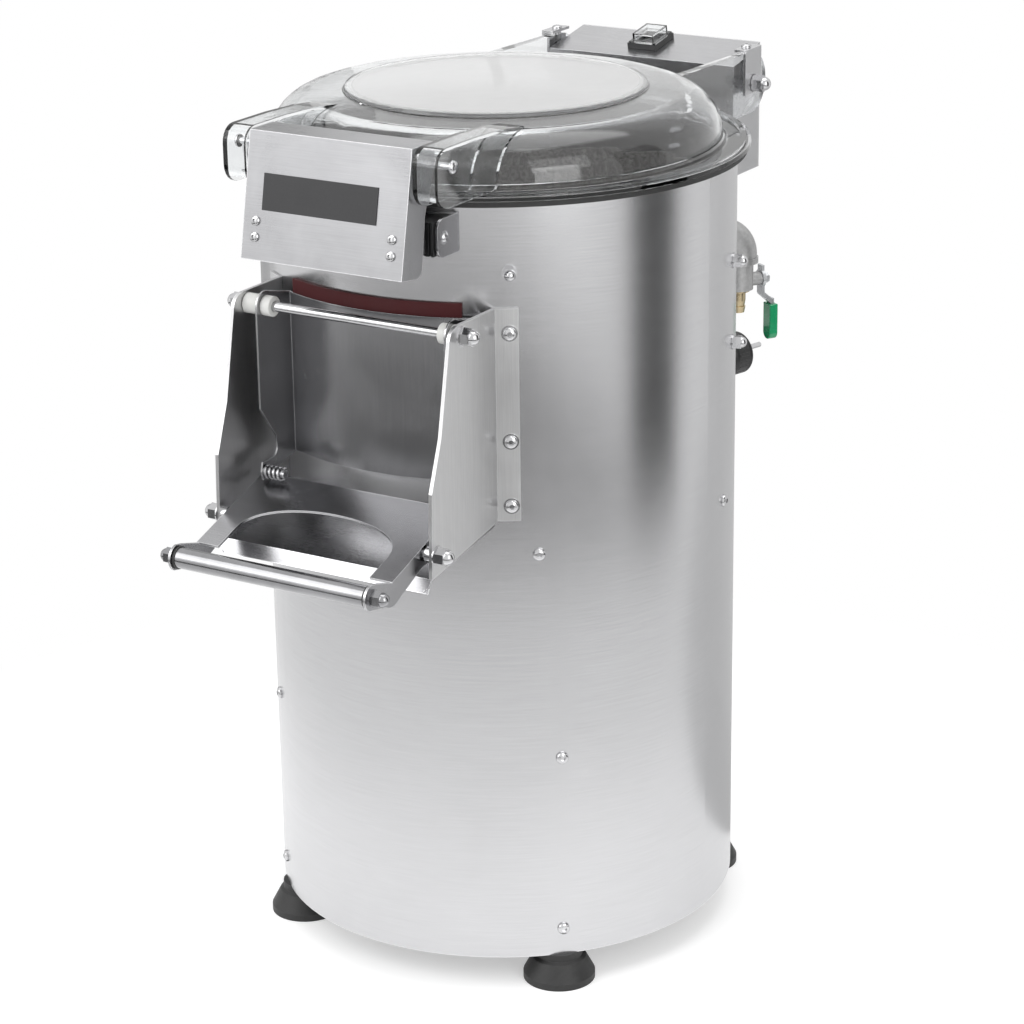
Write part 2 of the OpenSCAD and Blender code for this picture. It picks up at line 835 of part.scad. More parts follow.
module large_pulley() {
  color(dark_steel) translate([0, 0, pulley_z])
    difference() {
      pulley(groove_r_big, shaft_d / 2, shaft_d);
      for (a = [0:60:300])
        rotate([0, 0, a])
          translate([groove_r_big * 0.62, 0, -1])
            cylinder(h = belt_w + 6, r = groove_r_big * 0.19);
    }
}

module small_pulley() {
  color(dark_steel) translate([0, drive_centres, pulley_z])
    pulley(groove_r_small, motor_shaft_d / 2, motor_shaft_d * 0.75);
}

// Outline of a belt loop whose inner face lies g outside both pulleys
module loop_outline(g) {
  rb = groove_r_big + g;
  rs = groove_r_small + g;
  u = [cos(belt_lean), sin(belt_lean)];
  circle(r = rb);
  translate([0, drive_centres]) circle(r = rs);
  polygon([[rb * u[0], rb * u[1]], [rs * u[0], drive_centres + rs * u[1]],
    [-rs * u[0], drive_centres + rs * u[1]], [-rb * u[0], rb * u[1]]]);
}

belt_play = 0.2;

module drive_belt() {
  color(black) translate([0, 0, belt_z + belt_play])
    linear_extrude(belt_w - 2 * belt_play)
      difference() {
        loop_outline(belt_t);
        loop_outline(belt_play);
      }
}

// -------- drain

// A quarter bend that starts upwards at the origin and ends along +X
module bend(radius, r_out, r_in = 0) {
  translate([radius, 0, 0])
    rotate([90, 0, 0])
      rotate([0, 0, 90])
        rotate_extrude(angle = 90)
          translate([radius, 0])
            difference() {
              circle(r = r_out);
              if (r_in > 0)
                circle(r = r_in);
            }
}

drain_mid = drain_pipe_d / 2;

module drain_pipe() {
  bend_top = drain_z + drain_bend;
  color(dark_steel) rotate([0, 0, drain_az - 90])
    translate([drain_pipe_r, 0, 0]) {
      translate([0, 0, bend_top])
        tube(floor_top - bend_top, drain_mid, drain_mid - drain_pipe_t);
      translate([0, 0, bend_top])
        mirror([0, 0, 1]) bend(drain_bend, drain_mid, drain_mid - drain_pipe_t);
      translate([drain_bend, 0, drain_z])
        rotate([0, 90, 0])
          tube(drum_r + 6 - drain_pipe_r - drain_bend, drain_mid, drain_mid - drain_pipe_t);
    }
}

drain_elbow_in = drain_mid + hole_play;
drain_elbow_bend = 28;

module drain_elbow() {
  r_out = drain_d / 2;
  color(steel) rotate([0, 0, drain_az - 90])
    translate([drum_r + 0.2, 0, drain_z])
      rotate([-90, 0, 0]) {
        rotate([0, 90, 0]) tube(8, r_out, drain_elbow_in);
        translate([8, 0, 0])
          rotate([0, 90, 0]) bend(drain_elbow_bend, r_out, drain_elbow_in);
        translate([8 + drain_elbow_bend, 0, -drain_elbow_bend - drain_tail])
          tube(drain_tail, r_out, drain_elbow_in);
      }
}

// -------- water inlet

inlet_neck_r = inlet_bore / 2 + 2.5;
inlet_x0 = inlet_reach - inlet_bend;

// Frame with its origin on the drum wall at the inlet, X outwards and Z up
module at_inlet(z = inlet_z) {
  rotate([0, 0, inlet_az - 90]) translate([drum_r, 0, z]) children();
}

module inlet_elbow() {
  neck = liner_t + drum_wall + 6;
  leg = inlet_z - elbow_end_z - inlet_bend;
  bore = inlet_bore / 2;
  color("#9a9c9d") at_inlet() {
    translate([-neck, 0, 0]) rotate([0, 90, 0]) tube(neck + 0.2, inlet_neck_r, bore);
    translate([0.2, 0, 0]) rotate([0, 90, 0]) tube(inlet_x0 - 0.2, inlet_d / 2, bore);
    translate([inlet_x0, 0, 0]) rotate([0, 90, 0]) bend(inlet_bend, inlet_d / 2, bore);
    translate([inlet_reach, 0, -inlet_bend - leg]) tube(leg, inlet_d / 2, bore);
    translate([inlet_reach, 0, -inlet_bend - leg]) tube(5, inlet_d / 2 + 1.2, inlet_d / 2 - 1);
  }
}

valve_z = elbow_end_z - valve_h;
stem_z = valve_z + stem_rise;
stem_len = 21;
stem_r = 4.5;

module valve_body() {
  thread_r = inlet_bore / 2 - 0.05;
  color("#8f9296") at_inlet(0)
    translate([inlet_reach, 0, 0])
      difference() {
        union() {
          translate([0, 0, valve_z]) cylinder(h = valve_h, r = valve_d / 2);
          translate([0, 0, elbow_end_z]) cylinder(h = 6, r = thread_r);
          translate([0, 0, stem_z])
            rotate([0, 90, 0]) cylinder(h = stem_len, r = stem_r + 1.5);
        }
        translate([0, 0, valve_z - 1]) cylinder(h = valve_h + 8, r = barb_bore / 2);
        translate([0, 0, valve_z - 1]) cylinder(h = 3.5, r = barb_d / 2 - 1);
        translate([0, 0, stem_z]) sphere(r = ball_d / 2 + pin_play);
        translate([0, 0, stem_z])
          rotate([0, 90, 0]) cylinder(h = stem_len + 1, r = stem_r - 2 + pin_play);
      }
}

module hose_barb() {
  color("#a89368") at_inlet(0)
    translate([inlet_reach, 0, valve_z])
      difference() {
        union() {
          cylinder(h = 2.3, r = barb_d / 2 - 1 - seat_play);
          translate([0, 0, -2]) cylinder(h = 2, r = valve_d / 2 - 3);
          translate([0, 0, -10]) cylinder(h = 9, r = barb_d / 2);
          for (i = [0:1])
            translate([0, 0, -barb_h + i * 5.5])
              cylinder(h = 5.5, r1 = barb_d / 2 - 1, r2 = barb_d / 2);
        }
        translate([0, 0, -barb_h - 1]) cylinder(h = barb_h + 6, r = barb_bore / 2);
      }
}

lever_x = inlet_reach + stem_len;

module valve_ball() {
  color("#d0d2d4") at_inlet(0)
    translate([inlet_reach, 0, stem_z]) {
      difference() {
        sphere(r = ball_d / 2);
        cylinder(h = ball_d + 2, r = barb_bore / 2 - 1, center = true);
      }
      translate([ball_d / 2 - 1.5, 0, 0])
        rotate([0, 90, 0]) cylinder(h = stem_len + 9 - ball_d / 2 + 1.5, r = stem_r - 2);
    }
}

module lever_strap() {
  knee = 20;
  color(steel) at_inlet(0)
    translate([lever_x + pin_play, 0, stem_z]) {
      difference() {
        union() {
          rotate([0, 90, 0]) cylinder(h = 2.5, r = 8);
          translate([0, -5, -knee + 6]) cube([2.5, 10, knee - 6]);
          translate([0, -4, 0]) cube([2.5, 8, 12]);
          slanted_strap(knee);
          translate([10, -4, -valve_lever_l + 3]) cube([2.5, 8, valve_lever_l - knee - 2]);
        }
        translate([-1, 0, 0])
          rotate([0, 90, 0]) cylinder(h = 5, r = stem_r - 2 + seat_play);
      }
      translate([2.5, 0, 0])
        rotate([0, 90, 0])
          difference() {
            cylinder(h = 5, r = 9 / sqrt(3), $fn = 6);
            translate([0, 0, -1]) cylinder(h = 7, r = stem_r - 2 + seat_play);
          }
    }
}

// The lever's sloping part between its eye and its grip
module slanted_strap(knee) {
  rotate([90, 0, 0])
    translate([0, 0, -4])
      linear_extrude(8)
        polygon([[0, -knee + 8], [0, -knee + 5], [10, -knee - 4], [12.5, -knee - 4],
          [12.5, -knee - 1], [2.5, -knee + 8]]);
}

module valve_lever() {
  valve_ball();
  lever_strap();
}

module valve_sleeve() {
  top = -18;
  color("#0fa060") at_inlet(0)
    translate([lever_x + pin_play + 11.25, 0, stem_z])
      difference() {
        union() {
          translate([-sleeve_t / 2, -sleeve_w / 2, -valve_lever_l + 4])
            cube([sleeve_t, sleeve_w, valve_lever_l - 12 + top + 2]);
          translate([0, 0, -valve_lever_l + 4])
            rotate([0, 90, 0]) cylinder(h = sleeve_t, r = sleeve_w / 2, center = true);
        }
        translate([-1.3, -4.05, -valve_lever_l + 2.95]) cube([2.6, 8.1, valve_lever_l]);
      }
}

// -------- chute

chute_out = chute_half + chute_t;
kink_z = lip_z + 70;
chute_back = sqrt(drum_r * drum_r - chute_half * chute_half) - 1;
strip_az0 = asin(chute_half / (drum_r + 0.2));
strip_az1 = asin(chute_out / drum_r) + strip_w / drum_r * 180 / PI;
chute_low_z = lip_z + 17;
chute_foot_z = chute_low_z + 2;

// Side outline of a chute plate, in (y, z)
module chute_outline() {
  polygon(concat([[-chute_back, chute_foot_z], [-chute_back, chute_top_z]],
    arc(-rod_y - 6, chute_top_z - 13, 13, 90, 180),
    [[-(rod_y + 33), kink_z + 41], [-(lip_y + 1), kink_z], [-(lip_y + 3), lip_z + 1]]));
}

module chute_plate(side) {
  color(steel) mirror([side < 0 ? 1 : 0, 0, 0])
    difference() {
      union() {
        slab(chute_half, chute_out)
          chute_outline();
        wall_sheet(drum_r + 0.2, drum_r + 0.2 + strip_t, strip_az0 + 0.2, strip_az1,
          chute_foot_z, chute_top_z);
      }
      translate([0, 0, foot_h]) cylinder(h = drum_h, r = drum_r + 0.1);
      for (z = strip_zs)
        wall_hole(strip_az, z, screw_hole_r);
      x_rod(chute_half - 1, chute_out + 1, -rod_y, rod_z, bolt_d / 2 + hole_play);
      x_rod(chute_half - 1, chute_out + 1, -pivot_y, pivot_z, bolt_d / 2 + hole_play);
    }
}

module chute_left_plate() {
  chute_plate(-1);
}

module chute_right_plate() {
  chute_plate(1);
}

// Ramp between the plates, its front edge bent down
module chute_floor() {
  w = chute_half;
  color(steel) difference() {
    union() {
      translate([0, -lip_y, lip_z])
        rotate([chute_fall, 0, 0])
          translate([-w, 0, -chute_floor_t])
            cube([2 * w, lip_y - chute_back + 6, chute_floor_t]);
      translate([0, -lip_y, lip_z])
        rotate([-28, 0, 0])
          difference() {
            translate([-w, 0, -lip_len]) cube([2 * w, chute_floor_t, lip_len]);
            both_sides()
              translate([w, -1, -lip_len])
                rotate([0, 45, 0]) cube([8, chute_floor_t + 2, 8], center = true);
          }
      both_sides()
        translate([0, -lip_y, lip_z])
          rotate([chute_fall, 0, 0])
            translate([w - chute_floor_t, 16, -0.5])
              cube([chute_floor_t, lip_y - chute_back - 16, 8]);
    }
    translate([0, 0, foot_h]) cylinder(h = drum_h, r = drum_r + 0.3);
  }
}

module chute_screws() {
  color(steel) for (s = [-1, 1])
    for (z = strip_zs)
      at_wall(s * strip_az, drum_r + 0.2 + strip_t, z) {
        cylinder(h = washer_t, r = washer_d / 2);
        translate([0, 0, washer_t]) button_screw(washer_t + strip_t + drum_wall + 0.2);
      }
}

// -------- discharge door

door_low = sill_z - 4.5;
door_top = rod_z + 3;
seal_out = drum_r + 0.2 + seal_t;
door_in = seal_out + 0.4;
door_out_r = door_in + door_t;
ear_r = 12;
toe_z = sill_z - 10;
toe_y = 231;
pin_r = spring_d / 2 - spring_wire;

module door_seal() {
  az_in = asin(port_half / drum_r) + 0.3;
  az_out = az_in + 8 / drum_r * 180 / PI - 1;
  color("#8e1414") difference() {
    wall_sheet(drum_r + 0.2, seal_out, -az_out, az_out, door_low + 0.5, door_top + seal_over);
    translate([-port_half, -drum_r - 20, sill_z])
      cube([2 * port_half, drum_r, head_z - sill_z]);
  }
}

// Side outline of a door cheek in (y, z), that far from the middle
module cheek_outline(x) {
  back = sqrt(door_out_r * door_out_r - x * x) - 2;
  polygon(concat([[-back, door_low], [-back, door_top]],
    arc(-rod_y, rod_z, ear_r, 60, 180, 10),
    [[-rod_y - ear_r, rod_z - 14], [-rod_y - ear_r, rod_z - 84], [-rod_y + 8, sill_z + 15]],
    arc(-rod_y + 1, sill_z + 6, 8, 20, -60, 5),
    [[-toe_y - 3, sill_z - 2], [-toe_y - 5, toe_z], [-toe_y - 3, toe_z - 7],
      [-toe_y + 8, toe_z - 4]]));
}

module discharge_door() {
  color(steel) difference() {
    union() {
      wall_sheet(door_in, door_out_r, -asin((door_left - 1) / door_out_r),
        asin((door_right - 1) / door_out_r), door_low, door_top);
      slab(-door_left, -toe_x) cheek_outline(door_left);
      slab(door_right - door_t, door_right) cheek_outline(door_right);
      x_rod(-toe_x, -toe_x + spring_l, -toe_y, toe_z, pin_r - 0.3);
    }
    x_rod(-chute_half, chute_half, -rod_y, rod_z, bush_neck_r + seat_play);
    translate([0, 0, foot_h]) cylinder(h = drum_h, r = door_in);
  }
}

bush_neck_r = 6;
toe_x = door_left - door_t;

module door_bushings() {
  color(white) {
    bushing(door_right);
    mirror([1, 0, 0])
      bushing(door_left);
  }
}

// White bushing through a cheek whose outer face is that far from the middle
module bushing(cheek) {
  difference() {
    union() {
      x_rod(cheek - door_t - bush_in, cheek - door_t, -rod_y, rod_z, bush_d / 2);
      x_rod(cheek - door_t - 1, cheek + 1, -rod_y, rod_z, bush_neck_r);
      x_rod(cheek, chute_half - run_gap, -rod_y, rod_z, bush_d / 2);
    }
    x_rod(cheek - door_t - bush_in - 1, chute_half, -rod_y, rod_z, bolt_d / 2 + pin_play);
  }
}

// Coil on the left toe's pin, each turn a ring
module toe_spring() {
  turns = floor(spring_l / (spring_wire * 1.6));
  color("#d9d9d6") translate([-toe_x, -toe_y, toe_z])
    rotate([0, 90, 0])
      difference() {
        rotate_extrude()
          translate([pin_r, 0])
            union() {
              square([spring_wire * 0.5, spring_l]);
              for (i = [0:turns - 1])
                translate([spring_wire * 0.5, (i + 0.5) * spring_l / turns])
                  circle(r = spring_wire * 0.5, $fn = 16);
            }
        translate([0, 0, -1]) cylinder(h = spring_l + 2, r = pin_r - 0.2);
      }
}

module door_rod() {
  color(steel) {
    x_rod(-chute_out - 1, chute_out + 1, -rod_y, rod_z, bolt_d / 2);
    both_sides()
      translate([chute_out, -rod_y, rod_z])
        rotate([0, 90, 0]) acorn_nut(0, bolt_d, bolt_af, bolt_d * 2);
  }
}

// -------- lever and handle

lever_ang = atan2(31, 93);
tip_y = 313;
tip_z = pivot_z - 8;
tail_len = 98;
grip_y = 340;
grip_z = pivot_z - 12;
collar_r = 5.2;

// Frame on the lever plate's front edge: X right, Y up the plate, Z off its top face
module on_lever() {
  translate([0, -tip_y, tip_z]) rotate([lever_ang, 0, 0]) children();
}

// Side outline of a lever flange, in (y, z)
module flange_outline() {
  polygon(concat([[-tip_y, tip_z - 0.5], [-grip_y + 6, grip_z + 9.5]],
    arc(-grip_y, grip_z, 11, 100, 235, 8),
    arc(-tip_y - 1, tip_z - 5, 15.5, 235, 305, 6),
    [[-pivot_y - 6, pivot_z - 9.5]],
    arc(-pivot_y, pivot_z, 9, 290, 360, 5),
    [[-pivot_y + 9, pivot_z + 10.5]]));
}

module lever_plate() {
  w = lever_half;
  color(steel) difference() {
    union() {
      on_lever()
        translate([0, 0, -lever_t])
          linear_extrude(lever_t)
            difference() {
              translate([-w, 0]) square([2 * w, tail_len]);
              translate([-cut_half, -1]) square([2 * cut_half, cut_len * 0.4 + 1]);
              translate([0, cut_len * 0.4]) scale_arch();
            }
      both_slabs(w - lever_t, w)
        flange_outline();
    }
    both_sides() {
      x_rod(w - 2 * lever_t, w + 1, -pivot_y, pivot_z, bolt_d / 2 + pin_play);
      x_rod(w - 2 * lever_t, w + 1, -grip_y, grip_z, bolt_d / 2 - 1 + hole_play);
    }
  }
}

// Half ellipse that closes the cut-out at its rear
module scale_arch() {
  n = 28;
  polygon([for (i = [0:n]) let(a = 180 * i / n)
    [cut_half * cos(a), cut_len * 0.6 * pow(sin(a), 0.85)]]);
}

module handle_tube() {
  end = lever_half - lever_t - 0.05;
  color(steel) {
    difference() {
      x_rod(-end, end, -grip_y, grip_z, handle_d / 2);
      both_sides() x_rod(end - 25, end + 1, -grip_y, grip_z, bolt_d / 2 - 1 + hole_play);
    }
    both_sides()
      translate([lever_half, -grip_y, grip_z])
        rotate([0, 90, 0]) acorn_nut(20, bolt_d - 2, bolt_af - 1, bolt_d * 2 - 2);
  }
}

// Lever pivots in the chute plates, and lid hinge pins in the switch box
module pivot_bolts() {
  color(steel) both_sides() {
    translate([chute_out, -pivot_y, pivot_z])
      rotate([0, 90, 0])
        acorn_nut(chute_out - lever_half + lever_t + 4, bolt_d, bolt_af, bolt_d * 2);
    x_rod(chute_half - 5, chute_half, -pivot_y, pivot_z, bolt_af / 2);
    x_rod(lever_half - lever_t - 3, lever_half - lever_t - run_gap, -pivot_y, pivot_z, collar_r);
    translate([bracket_x + bracket_t + run_gap, hinge_y, hinge_z])
      rotate([0, 90, 0])
        acorn_nut(bracket_x + bracket_t + run_gap - box_half + 8, bolt_d, bolt_af, bolt_d * 2);
    x_rod(box_half - box_t - 6, box_half - box_t, hinge_y, hinge_z, bolt_af / 2);
  }
}

// -------- lid

gasket_z = drum_top + 0.3;
flange_z = gasket_z + gasket_t;
dome_z = flange_z + flange_t;
dome_r = dome_d / 2;
dome_top = drum_top + dome_rise;
latch_z = drum_top + latch_rise;
hinge_z = drum_top + hinge_rise;
arm_x = box_half + 1.5;
lug_out = lug_in + lug_w;
lug_top = dome_top + 1;
lug_low = flange_z + flange_t + 1;
lug_front = latch_y + 22;
arm_top = hinge_z + arm_r;
bracket_x = arm_x + arm_w + 0.3;
bracket_t = 2.5;

// Half section of the dome's outer skin, moved inwards by g
function dome_half(g) = concat([[0, dome_z - 30], [dome_r - g, dome_z - 30], [dome_r - g, dome_z]],
  arc(dome_r - dome_round - 3, dome_top - 5 - dome_round, dome_round - g, 0, 84, 10),
  [[crown_d / 2 + 2, dome_top - 3 - g], [crown_d / 2, dome_top - 0.5 - g],
    [crown_d / 2 - 6, dome_top - g], [crown_d / 2 - 10, dome_top - 2 - g],
    [0, dome_top - 1.5 - g]]);

// Side outline of a front lug in (y, z), moved inwards by g
module lug_outline(g) {
  polygon(concat([[-120, lug_top - g - 5], [-150, lug_top - g - 1.5], [-190, lug_top - g]],
    arc(-lug_front + 14, lug_top - 14, 14 - g, 90, 180, 6),
    arc(-lug_front + 16, lug_low + 16, 16 - g, 180, 270, 6),
    [[-190, lug_low + g], [-170, lug_low + g], [-120, lug_low + g]]));
}

// Side outline of a rear arm in (y, z)
module arm_outline() {
  polygon(concat([[120, arm_top + 3], [150, arm_top + 2]],
    arc(hinge_y, hinge_z, arm_r, 90, -90, 14),
    [[224, hinge_z - arm_r], [202, flange_z + 0.5], [150, flange_z + 1], [120, flange_z + 2]]));
}

module lid_dome() {
  color(clear) difference() {
    union() {
      difference() {
        rotate_extrude()
          polygon(dome_half(0));
        translate([0, 0, dome_z - 40]) cylinder(h = 40 - flange_t, r = dome_r + 20);
      }
      translate([0, 0, flange_z]) cylinder(h = flange_t, r = flange_d / 2);
      translate([0, 0, flange_z]) tube(flange_t + 2.5, flange_d / 2 - 4, flange_d / 2 - 8);
      difference() {
        both_slabs(lug_in, lug_out) lug_outline(0);
        both_slabs(lug_in + 3, lug_out - 3)
          union() {
            lug_outline(3);
            translate([0, -8]) lug_outline(3);
          }
      }
      both_slabs(arm_x, arm_x + arm_w) arm_outline();
    }
    rotate_extrude()
      polygon(dome_half(lid_wall));
    both_sides() {
      x_rod(lug_in - 1, lug_out + 1, -latch_y, latch_z, screw_d / 2 + 0.05);
      x_rod(arm_x - 1, arm_x + arm_w + 1, hinge_y, hinge_z, bolt_d / 2 + pin_play);
      translate([arm_x + arm_w / 2, hinge_y - 2, arm_top - 12])
        cylinder(h = 20, r = 2 + seat_play);
    }
    translate([0, 0, foot_h]) cylinder(h = drum_h + 0.3, r = drum_r + 30);
  }
}

module lid_gasket() {
  color(black) translate([0, 0, gasket_z]) tube(gasket_t, gasket_d / 2, drum_in - 6);
}

// Angle plates over the rear arms
module lid_brackets() {
  y0 = hinge_y - 17;
  color(steel) both_sides()
    difference() {
      union() {
        translate([bracket_x, y0, hinge_z - 9])
          cube([bracket_t, 30, arm_top - hinge_z + 13.5]);
        translate([arm_x + 0.5, y0, arm_top + 2]) cube([bracket_x - arm_x, 30, bracket_t]);
        translate([arm_x + arm_w / 2, y0 + 15, arm_top + 2 + bracket_t])
          button_screw(bracket_t + 12, 4, 9, 3);
      }
      x_rod(bracket_x - 1, bracket_x + bracket_t + 1, hinge_y, hinge_z, bolt_d / 2 + pin_play);
    }
}

// -------- latch flap

latch_top_z = drum_top + dome_rise;
latch_lean = tan(latch_tilt);
latch_front = -latch_y - 18;

// Side outline of the latch box in (y, z), moved inwards by g
module latch_outline(g) {
  low = latch_top_z - latch_h;
  polygon(concat([[latch_front + g + latch_lean * g, latch_top_z - g],
      [latch_front - (latch_h - 2) * latch_lean + g, low + g + 2]],
    arc(latch_front - latch_h * latch_lean + latch_d - 9, low + 8, 9 - g, 270, 360, 5),
    [[latch_front - 0.55 * latch_h * latch_lean + latch_d - g - 4, latch_top_z - 0.55 * latch_h],
      [latch_front + latch_d - g, latch_top_z - 14], [latch_front + latch_d - g, latch_top_z - g]]));
}

module latch_box() {
  color(steel) difference() {
    slab(-latch_half, latch_half) latch_outline(0);
    slab(-latch_half + latch_t, latch_half - latch_t)
      union() {
        latch_outline(latch_t);
        translate([6, 6]) latch_outline(8);
        translate([12, -4]) latch_outline(12);
      }
    x_rod(-latch_half - 1, latch_half + 1, -latch_y, latch_z, screw_d / 2 + pin_play);
    for (x = [-latch_screw_x, latch_screw_x])
      for (z = latch_screw_zs)
        on_latch(x, z) cylinder(h = 4 * latch_t, r = 2 + hole_play, center = true);
  }
}

latch_screw_x = 63.3;
latch_screw_zs = [latch_top_z - 81.1, latch_top_z - 68.7];

// Frame on the latch box's front face, with +Z pointing out of it
module on_latch(x, z) {
  translate([x, latch_front - (latch_top_z - z) * latch_lean, z])
    rotate([90 - latch_tilt, 0, 0]) children();
}

module latch_screws() {
  color(steel) for (x = [-latch_screw_x, latch_screw_x])
    for (z = latch_screw_zs)
      on_latch(x, z) {
        button_screw(latch_t + 6, 4, 8, 2.6);
      }
}

// Magnet blocks behind the flap's screws
module latch_magnets() {
  color(dark_steel) difference() {
    both_sides()
      intersection() {
        translate([latch_screw_x - 7, -300, ear_z0 + 5])
          cube([14, 300 - magnet_y, ear_h - 8]);
        on_latch(latch_screw_x, latch_screw_zs[0])
          translate([-20, -40, -60 - latch_t]) cube([40, 80, 60]);
      }
    for (x = [-latch_screw_x, latch_screw_x])
      for (z = latch_screw_zs)
        on_latch(x, z) cylinder(h = 24, r = 2 + seat_play, center = true);
  }
}

plate_x0 = -58;
plate_x1 = 48;
plate_h = 29;

module name_plate() {
  color("#3a3c3f") on_latch(0, latch_top_z - 60)
    translate([plate_x0, 0, 0]) cube([plate_x1 - plate_x0, plate_h, 0.8]);
}

module latch_bolts() {
  color(steel) both_sides() {
    translate([lug_out, -latch_y, latch_z])
      rotate([0, 90, 0]) button_screw(lug_out - latch_half + latch_t + 5);
    x_rod(latch_half - latch_t - 4, latch_half - latch_t - run_gap, -latch_y, latch_z, head_d / 2);
  }
}

// -------- catch and safety switch

ear_x = 76.5;
ear_t = 2;
ear_y = 216;
ear_z0 = drum_top - 36;
ear_h = 31;
magnet_y = ear_y + 5;

// Outline of a catch ear in (y, z)
module ear_outline(y0) {
  polygon(concat([[-y0, ear_z0], [-y0, ear_z0 + ear_h]],
    arc(-ear_y + 8, ear_z0 + ear_h - 8, 8, 90, 180, 5),
    arc(-ear_y + 8, ear_z0 + 8, 8, 180, 270, 5)));
}

module catch_bracket() {
  az = asin((ear_x + 1) / (drum_r + 0.2 + ear_t));
  color(steel) difference() {
    union() {
      wall_sheet(drum_r + 0.2, drum_r + 0.2 + ear_t, -az, az, ear_z0 + 1, ear_z0 + ear_h - 1);
      both_slabs(ear_x, ear_x + ear_t)
        ear_outline(drum_r - 14);
    }
    for (s = [-1, 1])
      wall_hole(s * catch_az, catch_z, screw_hole_r);
  }
}

module safety_switch() {
  half = ear_x - 1;
  color(black) difference() {
    translate([-half, -ear_y - 2, ear_z0 + 2]) cube([2 * half, 36, ear_h - 4]);
    translate([0, 0, foot_h]) cylinder(h = drum_h, r = drum_r + 0.2 + ear_t + 0.1);
    for (x = [-half + 3:6:half - 1])
      translate([x, -ear_y - 3, ear_z0]) cube([2, 3, ear_h]);
    for (s = [-1, 1])
      at_wall(s * catch_az, drum_r, catch_z) cylinder(h = 40, r = head_d / 2 + 0.5);
  }
}

// -------- switch box

// Frame on the sloping top of the switch box, Y up the slope
module on_box_top(x, run) {
  translate([x, box_y, box_z + box_front_h])
    rotate([box_slope, 0, 0]) translate([0, run, 0]) children();
}

// Side outline of the switch box in (y, z), moved inwards by g
module box_outline(g) {
  rise = box_d * tan(box_slope);
  polygon([[box_y + g, box_z + g], [box_y + g, box_z + box_front_h - g],
    [box_y + box_d - g, box_z + box_front_h + rise - g], [box_y + box_d - g, box_z + g]]);
}

switch_run = 17;
switch_x = -5;
gland_x = 30;
gland_r = 8;
box_leg_t = 2;
box_leg_w = 16;
box_bolt_x = box_leg_x + box_leg_w - 6;
cover_screw_zs = [box_z + 12, box_z + box_front_h - 6];

// Frames on the rear cover at its screws, with +Z pointing backwards
module cover_screw_places() {
  for (x = [-box_half + 9, box_half - 9])
    for (z = cover_screw_zs)
      translate([x, box_y + box_d + 0.2 + box_t, z]) rotate([-90, 0, 0]) children();
}

// Pair of channels between the drum and the switch box
module box_bracket() {
  z0 = box_leg_zs[0] - 10;
  z1 = box_leg_zs[1] + 10;
  az0 = asin(box_leg_x / (drum_r + 1));
  web_y = drum_r * cos(az0) + 1.9;
  az1 = az0 + box_leg_w * 0.62 / drum_r * 180 / PI;
  color(steel) both_sides()
    difference() {
      union() {
        wall_sheet(drum_r + 0.2, drum_r + 0.2 + box_leg_t, 180 - az1, 180 - az0 + 0.4, z0, z1);
        translate([box_leg_x - box_leg_t, web_y, z0])
          cube([box_leg_t, box_y - web_y, z1 - z0]);
        translate([box_leg_x - box_leg_t, box_y - box_leg_t, z0])
          cube([box_leg_w, box_leg_t, z1 - z0]);
      }
      for (z = box_leg_zs) {
        wall_hole(180 - box_leg_az, z, screw_hole_r);
        translate([box_bolt_x, box_y - 4, z])
          rotate([-90, 0, 0]) cylinder(h = 6, r = 2 + hole_play);
      }
    }
}

// Small screws of the rear cover and of the box's channels
module box_screws() {
  color(steel) {
    cover_screw_places() button_screw(box_t + 8, 4, 8, 2.6);
    for (s = [-1, 1])
      for (z = box_leg_zs)
        translate([s * box_bolt_x, box_y - box_leg_t, z])
          rotate([90, 0, 0]) {
            button_screw(box_leg_t + box_t + 5, 4, 8, 2.6);
            translate([0, 0, -box_leg_t - box_t - 3]) cylinder(h = 3, r = 7 / sqrt(3), $fn = 6);
          }
  }
}

module control_box() {
  color(steel) cord_hook();
  color(steel) difference() {
    slab(-box_half, box_half) box_outline(0);
    difference() {
      slab(-box_half + box_t, box_half - box_t)
        union() {
          box_outline(box_t);
          translate([box_t + 1, 0]) box_outline(box_t);
        }
      both_sides()
        for (z = cover_screw_zs)
          translate([box_half - 16, box_y + box_d - 2, z - 8]) cube([16, 2, 16]);
    }
    cover_screw_places() cylinder(h = 12, r = 2 + hole_play, center = true);
    for (s = [-1, 1])
      for (z = box_leg_zs)
        translate([s * box_bolt_x, box_y - 1, z])
          rotate([-90, 0, 0]) cylinder(h = 4, r = 2 + hole_play);
    both_sides()
      x_rod(box_half - 2 * box_t, box_half + 1, hinge_y, hinge_z, bolt_d / 2 + hole_play);
    on_box_top(switch_x, switch_run + switch_l / 2)
      cube([switch_w - 6, switch_l - 6, 8], center = true);
    translate([gland_x, gland_y, box_z - 1]) cylinder(h = 4, r = gland_r - 2 + hole_play);
  }
}

// Flat rear cover
module box_cover() {
  rise = box_d * tan(box_slope);
  color(steel) difference() {
    translate([-box_half, box_y + box_d + 0.2, box_z])
      cube([2 * box_half, box_t, box_front_h + rise]);
    cover_screw_places() cylinder(h = 12, r = 2 + hole_play, center = true);
  }
}

module switch_base() {
  color(black) on_box_top(switch_x, switch_run)
    difference() {
      union() {
        translate([-switch_w / 2, 0, 0.1]) cube([switch_w, switch_l, switch_h]);
        translate([-switch_w / 2 + 3.3, 3.3, -22]) cube([switch_w - 6.6, switch_l - 6.6, 24]);
      }
      translate([-rocker_w / 2 - run_gap, (switch_l - rocker_l) / 2 - run_gap, -12])
        cube([rocker_w + 2 * run_gap, rocker_l + 2 * run_gap, 30]);
      translate([0, switch_l / 2, rocker_pin_z])
        rotate([0, 90, 0]) cylinder(h = rocker_w + 8, r = 1.5 + pin_play, center = true);
    }
}

